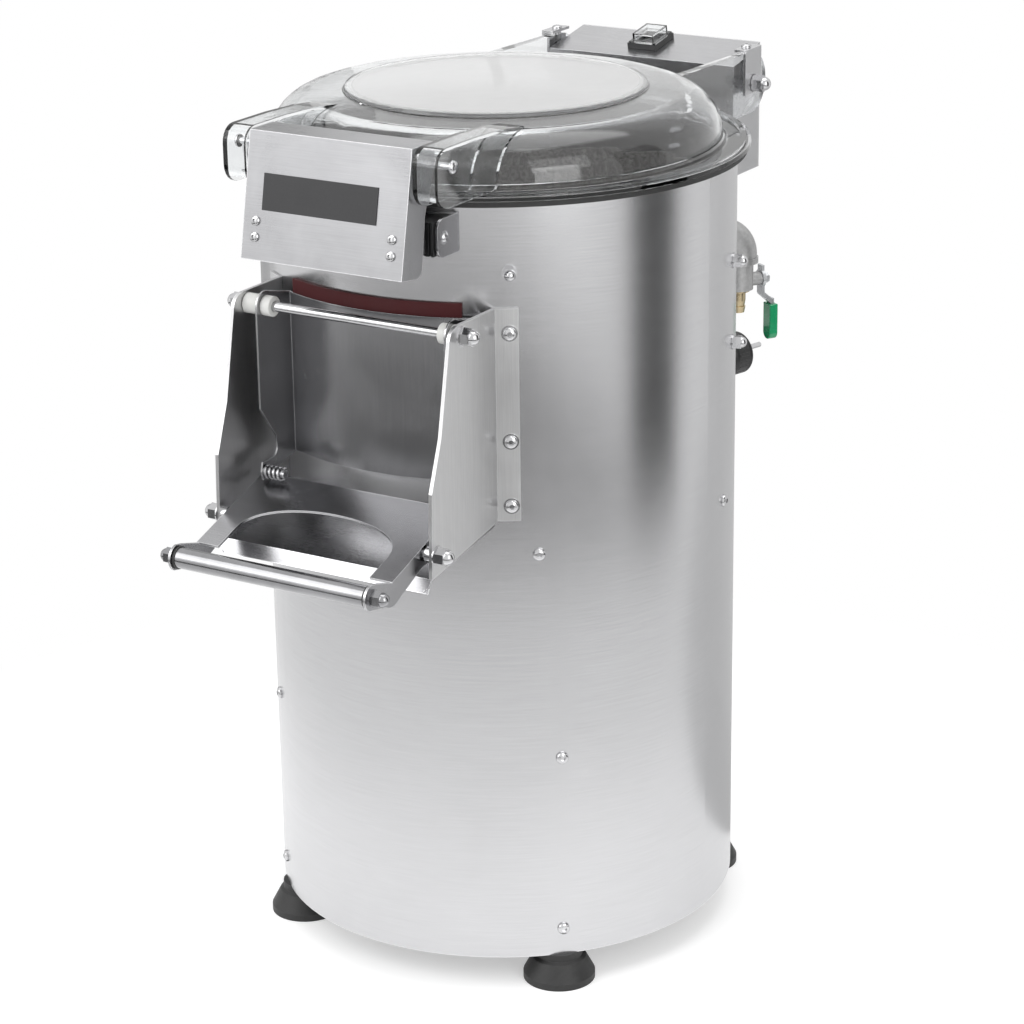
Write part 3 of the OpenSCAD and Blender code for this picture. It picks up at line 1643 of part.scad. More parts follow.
rocker_w = 16;
rocker_l = 22;
rocker_pin_z = -3;

// Rocker with its crosswise pin, tipped towards its off side
module switch_rocker() {
  color("#2a2a2c") on_box_top(switch_x, switch_run + switch_l / 2)
    translate([0, 0, rocker_pin_z])
      rotate([-8, 0, 0])
        union() {
          translate([0, 0, -3])
            rotate([90, 0, 90])
              translate([0, 0, -rocker_w / 2])
                linear_extrude(rocker_w)
                  polygon([[-6, 0], [6, 0], [rocker_l / 2 - 0.8, 10],
                    [0, 8.4], [-rocker_l / 2 + 0.8, 10]]);
          rotate([0, 90, 0]) cylinder(h = rocker_w + 6, r = 1.5, center = true);
        }
}

// Clear splash cap over the rocker
module switch_cap() {
  color(clear) on_box_top(switch_x, switch_run + switch_l / 2)
    translate([0, 0, switch_h + 0.1])
      difference() {
        union() {
          translate([-(switch_w - 2) / 2, -(switch_l - 2) / 2, 0])
            cube([switch_w - 2, switch_l - 2, 1.5]);
          translate([-(rocker_w + 5) / 2, -(rocker_l + 5) / 2, 0])
            cube([rocker_w + 5, rocker_l + 5, 8]);
        }
        translate([-(rocker_w + 2) / 2, -(rocker_l + 2) / 2, -1])
          cube([rocker_w + 2, rocker_l + 2, 7.5]);
      }
}

module contactor() {
  tall = box_front_h - 42;
  color("#d8d6cf") {
    translate([-57, box_y + box_t, box_z + 20])
      difference() {
        cube([45, 40, tall]);
        for (x = [6:11:40])
          translate([x, 34, tall - 8]) cube([6, 10, 10]);
      }
    translate([6, box_y + box_t, box_z + 24]) cube([50, 22, 18]);
  }
}

module cable_gland() {
  color(black) translate([gland_x, gland_y, box_z])
    difference() {
      union() {
        translate([0, 0, -6]) cylinder(h = 6, r = gland_r + 2, $fn = 6);
        translate([0, 0, -16]) cylinder(h = 10, r1 = gland_r - 2, r2 = gland_r);
        cylinder(h = 8, r = gland_r - 2);
        translate([0, 0, box_t]) cylinder(h = 4, r = gland_r + 1, $fn = 6);
      }
      translate([0, 0, -17]) cylinder(h = 30, r = 4);
    }
}

// -------- mains lead, its hank and plug

cord_r = cord_d / 2;
cord_z = drum_top - 219.5;
gland_y = box_y + 25;
hank_top = box_z - 36;
hank_ring = 2 * cord_d;
hank_r = 20 + hank_ring;
hank_t = 3 * cord_d;
hank_x = gland_x - hank_r + cord_r;
hook_t = 2;
clip_az = 163;
plug_at = [105.5, 203.9, cord_z];
plug_turn = -16;
tail_route = [for (p = [[80.4, 223.1, 0], [63, 228, 0], [54, 232, 3], [46, 237, 9], [39, 242, 19],
  [34, 247, 31], [31, 252, 44], [30, 256, 58], [30, 258, 71.5]]) [p[0], p[1], cord_z + p[2]]];
lead_route = [for (z = [box_z - 8, box_z - 24, box_z - 40, hank_top - hank_r + 8])
  [gland_x, gland_y, z]];

function unit(v) = v / norm(v);
function heading(p, i) = unit(p[min(i + 1, len(p) - 1)] - p[max(i - 1, 0)]);
function ring(p, i, r, n) =
  let(t = heading(p, i), a = unit(cross(t, [1, 1, 0])), b = cross(t, a))
  [for (k = [0:n - 1]) p[i] + r * (cos(360 * k / n) * a + sin(360 * k / n) * b)];

// Round tube along a route's points, with closed ends
module route_tube(p, r, n = 12) {
  m = len(p);
  polyhedron(
    points = [for (i = [0:m - 1]) each ring(p, i, r, n)],
    faces = concat([[for (k = [0:n - 1]) k]],
      [for (i = [0:m - 2]) for (k = [0:n - 1])
        [i * n + k, (i + 1) * n + k, (i + 1) * n + (k + 1) % n, i * n + (k + 1) % n]],
      [[for (k = [n - 1:-1:0]) (m - 1) * n + k]]));
}

// From inside the gland straight down to the hank's first run
module cord_lead() {
  color(black) route_tube(lead_route, cord_r - seat_play);
}

module cord_tail() {
  color(black) route_tube(tail_route, cord_r);
}

// Outline of the hank in (x, z), moved inwards by g
module hank_outline(g) {
  r = hank_r - g;
  low = hank_top - hank_h + hank_r;
  for (z = [low, hank_top - hank_r])
    translate([hank_x, z]) circle(r = r);
  translate([hank_x - r, low]) square([2 * r, hank_h - 2 * hank_r]);
}

module cord_hank() {
  color(black) translate([0, gland_y + hank_t / 2, 0])
    rotate([90, 0, 0])
      linear_extrude(hank_t)
        difference() {
          hank_outline(0);
          hank_outline(hank_ring);
        }
}

// Strip under the switch box with a peg through the hank
module cord_hook() {
  y0 = gland_y - hank_t / 2 - 1 - hook_t;
  z1 = hank_top - hank_ring - 5.5;
  translate([hank_x - 8, y0, z1 - 8]) cube([16, hook_t, box_z - z1 + 8]);
  translate([hank_x - 8, y0 - 8, box_z - hook_t]) cube([16, 8 + hook_t, hook_t]);
  translate([hank_x, y0, z1])
    rotate([-90, 0, 0]) {
      cylinder(h = hank_t + 2 + 2 * hook_t, r = 5.5);
      translate([0, 0, hank_t + 2 + hook_t]) cylinder(h = hook_t, r = 9);
    }
}

// Block on the drum that holds the cord
module cord_clip() {
  run = tail_route[1] - tail_route[0];
  color(black) difference() {
    at_wall(clip_az, drum_r + 1, cord_z)
      translate([-5, -8, -2]) cube([10, 16, 46]);
    translate([0, 0, foot_h]) cylinder(h = drum_h, r = drum_r + 0.2);
    translate(tail_route[1])
      rotate([0, 0, atan2(run[1], run[0])])
        rotate([0, 90, 0]) cylinder(h = 40, r = cord_r + seat_play, center = true);
  }
}

// Frame on the plug, with +Z along its pins and +X towards its cord
module on_plug() {
  translate(plug_at)
    rotate([0, 0, plug_turn])
      rotate([-90, 0, 0]) mirror([1, 0, 0]) children();
}

module plug_pin_places() {
  for (s = [-1, 1])
    rotate([0, 0, 30]) translate([s * 9.5, 0, plug_l]) children();
}

module mains_plug() {
  r = plug_d / 2;
  color(black) on_plug() difference() {
    union() {
      cylinder(h = 5, r1 = r - 4, r2 = r);
      translate([0, 0, 5]) cylinder(h = plug_l - 6.5, r = r);
      translate([0, 0, plug_l - 1.5]) cylinder(h = 1.5, r1 = r, r2 = r - 1.5);
      translate([r - 3, 0, plug_l / 2]) rotate([0, 90, 0]) cylinder(h = 14, r1 = 8, r2 = 5.5);
    }
    translate([r + 5, 0, plug_l / 2])
      rotate([0, 90, 0]) cylinder(h = 7, r = cord_r + hole_play);
    plug_pin_places()
      translate([0, 0, -10]) cylinder(h = 11, r = plug_pin_d / 2 + seat_play);
  }
}

module plug_pins() {
  color(steel) on_plug()
    plug_pin_places()
      translate([0, 0, -10]) {
        cylinder(h = plug_pin_l + 9, r = plug_pin_d / 2);
        translate([0, 0, plug_pin_l + 9])
          cylinder(h = 1, r1 = plug_pin_d / 2, r2 = plug_pin_d / 2 - 0.8);
      }
}

// -------- fasteners of the frame

// Hexagon bolts of the feet and under the bearing housing
module frame_bolts() {
  foot_bolts();
  housing_bolts();
}

// Screws of the drum, its lining, the chute and the switch box
module frame_screws() {
  drum_screws();
  liner_bolts();
  chute_screws();
  box_screws();
}

// The door's rod, and the pivots of the lever and the lid
module pivot_rods() {
  door_rod();
  pivot_bolts();
}

drum();
feet();
frame_bolts();
frame_screws();
leg_brackets();
chamber_floor();
abrasive_liner();
bearing_housing();
bearings();
shaft_seal();
motor_mount();
motor_body();
drive_belt();
main_shaft();
large_pulley();
abrasive_disc();
disc_nut();
motor_rotor();
small_pulley();
drain_pipe();
drain_elbow();
inlet_elbow();
valve_body();
hose_barb();
valve_lever();
valve_sleeve();
chute_left_plate();
chute_right_plate();
chute_floor();
door_seal();
discharge_door();
door_bushings();
toe_spring();
pivot_rods();
lever_plate();
handle_tube();
lid_dome();
lid_gasket();
lid_brackets();
latch_bolts();
latch_box();
latch_screws();
latch_magnets();
name_plate();
catch_bracket();
safety_switch();
box_bracket();
control_box();
box_cover();
switch_base();
switch_rocker();
switch_cap();
contactor();
cable_gland();
cord_lead();
cord_hank();
cord_tail();
cord_clip();
mains_plug();
plug_pins();
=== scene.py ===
"""Dressed scene of an electric potato peeler: its finishes, fitted details, stage and camera.

Lengths are in metres in the frame of the solid model: +Z up, the discharge chute faces -Y, and the
origin is on the floor under the drum's axis.
"""

import json
import logging
import math
from collections.abc import Iterable, Sequence
from dataclasses import dataclass, field
from enum import Enum

import bmesh
import bpy
from mathutils import Matrix, Vector


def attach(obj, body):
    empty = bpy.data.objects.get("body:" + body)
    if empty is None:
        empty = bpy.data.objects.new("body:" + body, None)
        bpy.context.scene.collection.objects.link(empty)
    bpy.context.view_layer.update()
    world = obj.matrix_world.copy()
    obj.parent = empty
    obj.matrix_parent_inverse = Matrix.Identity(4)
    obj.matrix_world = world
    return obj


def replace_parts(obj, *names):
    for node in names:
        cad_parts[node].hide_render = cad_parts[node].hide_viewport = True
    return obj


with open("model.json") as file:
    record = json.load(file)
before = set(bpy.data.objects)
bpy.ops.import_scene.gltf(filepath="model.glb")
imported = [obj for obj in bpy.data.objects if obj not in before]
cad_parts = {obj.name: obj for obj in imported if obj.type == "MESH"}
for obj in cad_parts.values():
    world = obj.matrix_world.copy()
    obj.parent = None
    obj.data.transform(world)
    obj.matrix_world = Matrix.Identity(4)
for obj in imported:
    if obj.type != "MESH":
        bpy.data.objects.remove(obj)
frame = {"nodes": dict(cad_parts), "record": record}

log = logging.getLogger("peeler")
Colour = tuple[float, float, float]
Point = tuple[float, float, float]
Outline = list[tuple[float, float]]
Socket = bpy.types.NodeSocket
MM = 0.001
# Colour of lightened edges: partly wear, partly a painted highlight.
WORN_EDGE_AND_HIGHLIGHT = (0.88, 0.88, 0.89)


# ---------------------------------------------------------------- node trees


class Shader:
    """Node tree of one material, with the surface shader that it feeds."""

    def __init__(self, name: str, **surface: object) -> None:
        """Makes the material.

        Args:
            name: Name of the material.
            **surface: Values of the surface shader's sockets, with _ for a space.
        """
        self.material = bpy.data.materials.new(name)
        self.material.use_nodes = True
        self.tree = self.material.node_tree
        self.surface = self.tree.nodes["Principled BSDF"]
        for socket, value in surface.items():
            self.surface.inputs[socket.replace("_", " ")].default_value = value

    def add(self, kind: str, settings: dict[str, object] | None = None, **inputs: object) -> bpy.types.Node:
        """Adds one node.

        Args:
            kind: Blender's type name, without the ShaderNode in front.
            settings: Attributes of the node.
            **inputs: Sockets by name or, as i0, i1, by number: each a value or another socket.

        Returns:
            The node.
        """
        node = self.tree.nodes.new("ShaderNode" + kind)
        for key, value in (settings or {}).items():
            setattr(node, key, value)
        for key, value in inputs.items():
            numbered = key[0] == "i" and key[1:].isdigit()
            socket = node.inputs[int(key[1:])] if numbered else node.inputs[key.replace("_", " ")]
            if isinstance(value, Socket):
                self.tree.links.new(value, socket)
            else:
                socket.default_value = value
        return node

    def feed(self, socket: str, source: Socket) -> None:
        """Links a source to a socket of the surface shader."""
        self.tree.links.new(source, self.surface.inputs[socket])

    def place(self, scale: Point = (1, 1, 1), turn: Point = (0, 0, 0), centre: Point = (0, 0, 0)) -> Socket:
        """Place on the piece in metres, stretched and turned.

        Args:
            scale: Stretch along each axis.
            turn: Turn about each axis, in degrees.
            centre: Shift along each axis.

        Returns:
            The vector's socket.
        """
        coordinates = self.add("TexCoord")
        mapping = self.add("Mapping", i0=coordinates.outputs["Object"], Scale=scale, Location=centre)
        mapping.inputs["Rotation"].default_value = [math.radians(a) for a in turn]
        return mapping.outputs[0]

    def noise(self, place: Socket, scale: float, detail: float = 3, rough: float = 0.55,
              warp: float = 0) -> Socket:
        """Cloudy pattern from 0 to 1.

        Args:
            place: Where it is read.
            scale: Lumps in a metre.
            detail: Octaves.
            rough: Weight of the fine octaves.
            warp: Distortion.

        Returns:
            The pattern's socket.
        """
        node = self.add("TexNoise", Vector=place, Scale=scale, Detail=detail, Roughness=rough,
                        Distortion=warp)
        return node.outputs["Fac"]

    def spread(self, value: Socket, low: float, high: float, start: float = 0.3, end: float = 0.7) -> Socket:
        """Maps a pattern to another range, held at both ends.

        Args:
            value: The pattern.
            low: Result at the start.
            high: Result at the end.
            start: The pattern's value at the start.
            end: The pattern's value at the end.

        Returns:
            The result's socket.
        """
        node = self.add("MapRange", {"clamp": True}, Value=value, From_Min=start, From_Max=end,
                        To_Min=low, To_Max=high)
        return node.outputs[0]

    def blend(self, share: Socket, first: Colour | Socket, second: Colour | Socket) -> Socket:
        """Colour between two colours.

        Args:
            share: Share of the second colour.
            first: Colour at 0.
            second: Colour at 1.

        Returns:
            The colour's socket.
        """
        node = self.add("Mix", {"data_type": "RGBA"}, i0=share)
        for index, colour in ((6, first), (7, second)):
            if isinstance(colour, Socket):
                self.tree.links.new(colour, node.inputs[index])
            else:
                node.inputs[index].default_value = (*colour, 1)
        return node.outputs[2]

    def reckon(self, operation: str, first: Socket | float, second: Socket | float) -> Socket:
        """Result of a sum, a product or another operation on two numbers."""
        return self.add("Math", {"operation": operation}, i0=first, i1=second).outputs[0]

    def sum(self, first: Socket, second: Socket | float, share: float = 1.0) -> Socket:
        """First plus share times second."""
        return self.reckon("ADD", first, self.reckon("MULTIPLY", second, share))

    def seen_directly(self) -> Socket:
        """1 for what the camera, clear plastic and metal show, and 0 for light on the pieces."""
        path = self.add("LightPath")
        through = self.reckon("MAXIMUM", path.outputs["Is Camera Ray"], path.outputs["Is Transmission Ray"])
        return self.reckon("MAXIMUM", through, path.outputs["Is Glossy Ray"])

    def bump(self, height: Socket, depth: float, strength: float = 1.0) -> None:
        """Feeds a relief of that depth, in metres, to the surface shader's normal."""
        node = self.add("Bump", Strength=strength, Distance=depth, Height=height)
        self.feed("Normal", node.outputs[0])

    def edge_wear_and_highlight(self, reach: float = 0.0012) -> Socket:
        """Share of edge, from 0 on a face to 1 on a sharp edge within that reach: the mask of lightened
        edges, partly wear and partly a painted highlight.
        """
        bevel = self.add("Bevel", {"samples": 4}, Radius=reach)
        geometry = self.add("NewGeometry")
        cosine = self.add("VectorMath", {"operation": "DOT_PRODUCT"}, i0=bevel.outputs[0],
                          i1=geometry.outputs["Normal"])
        return self.spread(cosine.outputs["Value"], 1, 0, 0.86, 0.99)


class Grain(Enum):
    """Direction in which a sheet was brushed."""

    ROUND = "Z"
    SIDEWAYS = "X"
    UPRIGHT = "Y"
    NONE = ""


STRETCH = {
    Grain.ROUND: (0.35, 0.35, 30.0),
    Grain.SIDEWAYS: (0.35, 30.0, 30.0),
    Grain.UPRIGHT: (30.0, 30.0, 0.35),
    Grain.NONE: (6.0, 6.0, 6.0),
}


@dataclass(frozen=True)
class BrushedSteel:
    """Stainless sheet, brushed in one direction, with handling marks, and edges lightened partly as wear and
    partly as a painted highlight.
    """

    name: str
    grain: Grain
    base: Colour = (0.56, 0.56, 0.57)
    shine: tuple[float, float] = (0.22, 0.3)
    anisotropy: float = 0.35
    streaky: float = 0.05
    mottled: float = 0.05

    def make(self) -> bpy.types.Material:
        """Returns the material."""
        s = Shader(self.name, Metallic=1.0, Anisotropic=self.anisotropy)
        streaks = s.noise(s.place(STRETCH[self.grain]), 60, 4, 0.62)
        smudges = s.noise(s.place(), 11, 4, 0.6, 0.5)
        fine = s.noise(s.place(STRETCH[self.grain]), 260, 2)
        share = s.sum(s.spread(streaks, -self.streaky, self.streaky, 0.35, 0.65),
                      s.spread(smudges, -self.mottled, self.mottled, 0.35, 0.7))
        darkest, brightest = (tuple(min(1.0, part * c) for c in self.base) for part in (0.5, 1.5))
        sheet = s.blend(s.reckon("ADD", share, 0.5), darkest, brightest)
        # Edges blend to a lighter colour: partly wear, partly a painted highlight.
        s.feed("Base Color", s.blend(s.edge_wear_and_highlight(), sheet, WORN_EDGE_AND_HIGHLIGHT))
        s.feed("Roughness", s.spread(s.sum(smudges, fine, 0.4), *self.shine, 0.45, 1.0))
        s.bump(s.sum(fine, streaks, 0.5), 0.00002, 0.4)
        if self.grain is Grain.ROUND:
            tangent = s.add("Tangent", {"direction_type": "RADIAL", "axis": "Z"})
            s.feed("Tangent", tangent.outputs[0])
        return s.material


@dataclass(frozen=True)
class PolishedSteel:
    """Bright turned or polished steel with hairline marks."""

    name: str
    base: Colour = (0.62, 0.62, 0.63)
    shine: tuple[float, float] = (0.07, 0.2)
    grain: Grain = Grain.NONE

    def make(self) -> bpy.types.Material:
        """Returns the material."""
        s = Shader(self.name, Metallic=1.0)
        hairs = s.noise(s.place(STRETCH[self.grain]), 120, 3)
        clouds = s.noise(s.place(), 60, 2)
        s.feed("Base Color", s.blend(s.spread(clouds, 0, 1), tuple(0.85 * c for c in self.base), self.base))
        s.feed("Roughness", s.spread(s.sum(hairs, clouds, 0.5), *self.shine, 0.4, 1.1))
        s.bump(hairs, 0.00003, 0.4)
        return s.material


@dataclass(frozen=True)
class RawMetal:
    """Cast, plated or painted metal with a grainy skin."""

    name: str
    base: Colour
    spot: Colour
    metallic: float
    shine: tuple[float, float]
    relief: float
    lumps: float = 320

    def make(self) -> bpy.types.Material:
        """Returns the material."""
        s = Shader(self.name, Metallic=self.metallic)
        grains = s.noise(s.place(), self.lumps, 4, 0.62)
        stains = s.noise(s.place(), 45, 3, 0.6, 0.6)
        colour = s.blend(s.spread(s.sum(grains, stains, 0.8), 0, 1, 0.6, 1.15), self.spot, self.base)
        # Edges are painted 1.25 times lighter than the base: partly wear, partly a painted highlight.
        s.feed("Base Color", s.blend(s.edge_wear_and_highlight(0.0008), colour, tuple(min(1, 1.25 * c) for c in self.base)))
        s.feed("Roughness", s.spread(stains, *self.shine))
        s.bump(s.sum(grains, stains, 0.4), self.relief, 0.7)
        return s.material


@dataclass(frozen=True)
class ClearPlastic:
    """Clear moulded plastic with fine scuffs and a faint haze, milky inside a crown's radius."""

    name: str
    tint: Colour = (0.97, 0.98, 0.985)
    shine: tuple[float, float] = (0.015, 0.07)
    milky: float = 0.0
    crown: float = 0.0
    crown_low: float = 0.7235
    crown_high: float = 0.7275
    milk: Colour = (0.70, 0.70, 0.70)

    def make(self) -> bpy.types.Material:
        """Returns the material."""
        s = Shader(self.name, IOR=1.49)
        haze = s.noise(s.place(), 14, 4, 0.6, 0.5)
        scuffs = s.noise(s.place((1, 1, 6)), 180, 3)
        clear = s.blend(s.spread(haze, 0, 1), self.tint, tuple(0.96 * c for c in self.tint))
        if self.crown:
            flat = s.place((1, 1, 0))
            reach = s.add("VectorMath", {"operation": "LENGTH"}, i0=flat).outputs["Value"]
            height = s.add("SeparateXYZ", i0=s.place()).outputs["Z"]
            inside = s.spread(reach, 1, 0, self.crown - 0.006, self.crown)
            raised = s.spread(height, 0, 1, self.crown_low, self.crown_high)
            share = s.reckon("MULTIPLY", s.reckon("MULTIPLY", inside, raised), s.spread(haze, 0.9, 1.0))
            clear = s.blend(share, clear, self.milk)
            s.feed("Transmission Weight", s.spread(share, 1.0, 1 - self.milky, 0, 1))
        else:
            s.surface.inputs["Transmission Weight"].default_value = 1.0
        s.feed("Base Color", clear)
        s.feed("Roughness", s.spread(s.sum(haze, scuffs, 0.6), *self.shine, 0.7, 1.1))
        s.bump(s.sum(haze, scuffs, 0.05), 0.0006, 0.25)
        return s.material


@dataclass(frozen=True)
class Polymer:
    """Rubber, silicone or moulded plastic."""

    name: str
    base: Colour
    dust: Colour
    shine: tuple[float, float]
    relief: float
    grain: float = 700
    coat: float = 0.0
    dusty: float = 0.5

    def make(self) -> bpy.types.Material:
        """Returns the material."""
        s = Shader(self.name, Coat_Weight=self.coat, Coat_Roughness=0.08)
        texture = s.noise(s.place(), self.grain, 3, 0.6)
        clouds = s.noise(s.place(), 38, 4, 0.62, 0.7)
        colour = s.blend(s.spread(clouds, 0, self.dusty, 0.4, 0.75), self.base, self.dust)
        s.feed("Base Color", s.blend(s.edge_wear_and_highlight(0.0007), colour, self.dust))
        s.feed("Roughness", s.spread(s.sum(clouds, texture, 0.4), *self.shine, 0.5, 0.95))
        s.bump(s.sum(texture, clouds, 0.3), self.relief, 0.6)
        return s.material


@dataclass(frozen=True)
class Grit:
    """Abrasive grain bonded to a plate."""

    name: str
    base: Colour = (0.16, 0.15, 0.145)
    sparkle: Colour = (0.42, 0.40, 0.38)

    def make(self) -> bpy.types.Material:
        """Returns the material."""
        s = Shader(self.name, Specular_IOR_Level=0.6)
        grains = s.add("TexVoronoi", {"feature": "F1"}, Vector=s.place(), Scale=620.0)
        worn = s.noise(s.place(), 30, 4)
        shade = s.add("SeparateColor", i0=grains.outputs["Color"]).outputs[0]
        bright = s.spread(s.sum(shade, worn, 0.6), 0, 1, 0.4, 1.5)
        s.feed("Base Color", s.blend(bright, self.base, self.sparkle))
        s.feed("Roughness", s.spread(worn, 0.65, 0.95))
        s.bump(s.sum(worn, grains.outputs["Distance"], -1.0), 0.0012, 0.9)
        return s.material


# ---------------------------------------------------------------- meshes


class Mould:
    """A mesh in the making, with the operators that shape it."""

    def __init__(self) -> None:
        """Starts with nothing."""
        self.bm = bmesh.new()

    def ring(self, radius: float, sides: int, matrix: Matrix,
             fill: bool = False) -> list[bmesh.types.BMVert]:
        """Adds a circle.

        Args:
            radius: Radius of the circle.
            sides: Number of its points.
            matrix: Frame of the circle.
            fill: Whether it is closed by a face.

        Returns:
            Its points.
        """
        made = bmesh.ops.create_circle(self.bm, cap_ends=fill, segments=sides, radius=radius, matrix=matrix)
        return made["verts"]

    def box(self, place: Matrix, size: Point) -> None:
        """Adds a box of that size, in millimetres, round the middle of a frame."""
        stretch = Matrix.Diagonal((*(side * MM for side in size), 1))
        bmesh.ops.create_cube(self.bm, size=1, matrix=place @ stretch)

    def lathe(self, outline: Outline, place: Matrix, steps: int = 64) -> None:
        """Turns an outline of (radius, height) once round the place's Z axis.

        Args:
            outline: Its points in millimetres, a closed loop if it doesn't end on the axis.
            place: Frame of the turned shape.
            steps: Faces round the shape.
        """
        points = [self.bm.verts.new((r * MM, 0, h * MM)) for r, h in outline]
        edges = [self.bm.edges.new(pair) for pair in zip(points, points[1:])]
        if outline[0][0] > 0 and outline[-1][0] > 0:
            edges.append(self.bm.edges.new((points[-1], points[0])))
        made = bmesh.ops.spin(self.bm, geom=points + edges, cent=(0, 0, 0), axis=(0, 0, 1),
                              angle=2 * math.pi, steps=steps, use_merge=True)
        last = [item for item in made["geom_last"] if isinstance(item, bmesh.types.BMVert)]
        linked = self.island([v for v in points + last if v.is_valid])
        bmesh.ops.remove_doubles(self.bm, verts=linked, dist=1e-7)
        linked = [v for v in linked if v.is_valid]
        bmesh.ops.transform(self.bm, matrix=place, verts=linked)

    def island(self, start: Iterable[bmesh.types.BMVert]) -> list[bmesh.types.BMVert]:
        """Points that edges join to others.

        Args:
            start: The first points.

        Returns:
            Every point that can be reached from them.
        """
        found, waiting = set(start), list(start)
        while waiting:
            for edge in waiting.pop().link_edges:
                for v in edge.verts:
                    if v not in found:
                        found.add(v)
                        waiting.append(v)
        return list(found)

    def coil(self, radius: float, wire: float, turns: float, pitch: float, place: Matrix,
             sides: int = 8) -> None:
        """Winds a round wire into a spring.

        Args:
            radius: Radius of the wire's centreline.
            wire: Radius of the wire.
            turns: Number of turns.
            pitch: Rise of one turn.
            place: Frame of the spring, wound along its Z axis.
            sides: Faces round the wire.
        """
        steps = int(16 * turns)
        upright = Matrix.Translation((radius, 0, 0)) @ Matrix.Rotation(math.pi / 2, 4, "X")
        start = self.ring(wire, sides, upright, fill=True)
        cap = start[0].link_faces[0]
        made = bmesh.ops.spin(self.bm, geom=[cap], cent=(0, 0, 0), axis=(0, 0, 1), angle=2 * math.pi * turns,
                              dvec=(0, 0, pitch * turns / steps), steps=steps)
        rim = [item for item in made["geom_last"] if isinstance(item, bmesh.types.BMEdge)]
        bmesh.ops.contextual_create(self.bm, geom=rim)
        bmesh.ops.transform(self.bm, matrix=place, verts=self.island(start))

    def copy_of(self, node: str) -> None:
        """Takes a solid's mesh, merged and with its flat faces whole."""
        self.bm.from_mesh(frame["nodes"][node].data)
        bmesh.ops.remove_doubles(self.bm, verts=self.bm.verts[:], dist=2e-6)
        bmesh.ops.dissolve_limit(self.bm, angle_limit=math.radians(0.4), verts=self.bm.verts[:],
                                 edges=self.bm.edges[:], use_dissolve_boundaries=False)

    def piece(self, name: str, finish: str, body: str, crease: float = 34.0) -> bpy.types.Object:
        """Makes the finished piece.

        Args:
            name: Name of the piece.
            finish: Name of its material.
            body: Body that it rides on.
            crease: Edges sharper than this angle, in degrees, stay sharp.

        Returns:
            The object.
        """
        bmesh.ops.recalc_face_normals(self.bm, faces=self.bm.faces[:])
        mesh = bpy.data.meshes.new(name)
        self.bm.to_mesh(mesh)
        self.bm.free()
        obj = bpy.data.objects.new(name, mesh)
        bpy.context.scene.collection.objects.link(obj)
        mesh.shade_smooth()
        mesh.set_sharp_from_angle(angle=math.radians(crease))
        mesh.materials.append(bpy.data.materials[finish])
        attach(obj, body)
        log.info("piece %s on %s: %d faces", name, body, len(mesh.polygons))
        return obj


def soften(obj: bpy.types.Object, width: float, segments: int = 2, limit: float = 34.0) -> bpy.types.Object:
    """Rounds a piece's sharp edges.

    Args:
        obj: The piece.
        width: Width of the rounding.
        segments: Faces across it.
        limit: Edges sharper than this angle, in degrees, are rounded.

    Returns:
        The piece.
    """
    bevel = obj.modifiers.new("soft edges", "BEVEL")
    bevel.width, bevel.segments, bevel.profile = width, segments, 0.5
    bevel.limit_method, bevel.angle_limit = "ANGLE", math.radians(limit)
    bevel.harden_normals, bevel.use_clamp_overlap = False, True
    flat = obj.modifiers.new("flat faces", "WEIGHTED_NORMAL")
    flat.keep_sharp = True
    return obj


# ---------------------------------------------------------------- dressing


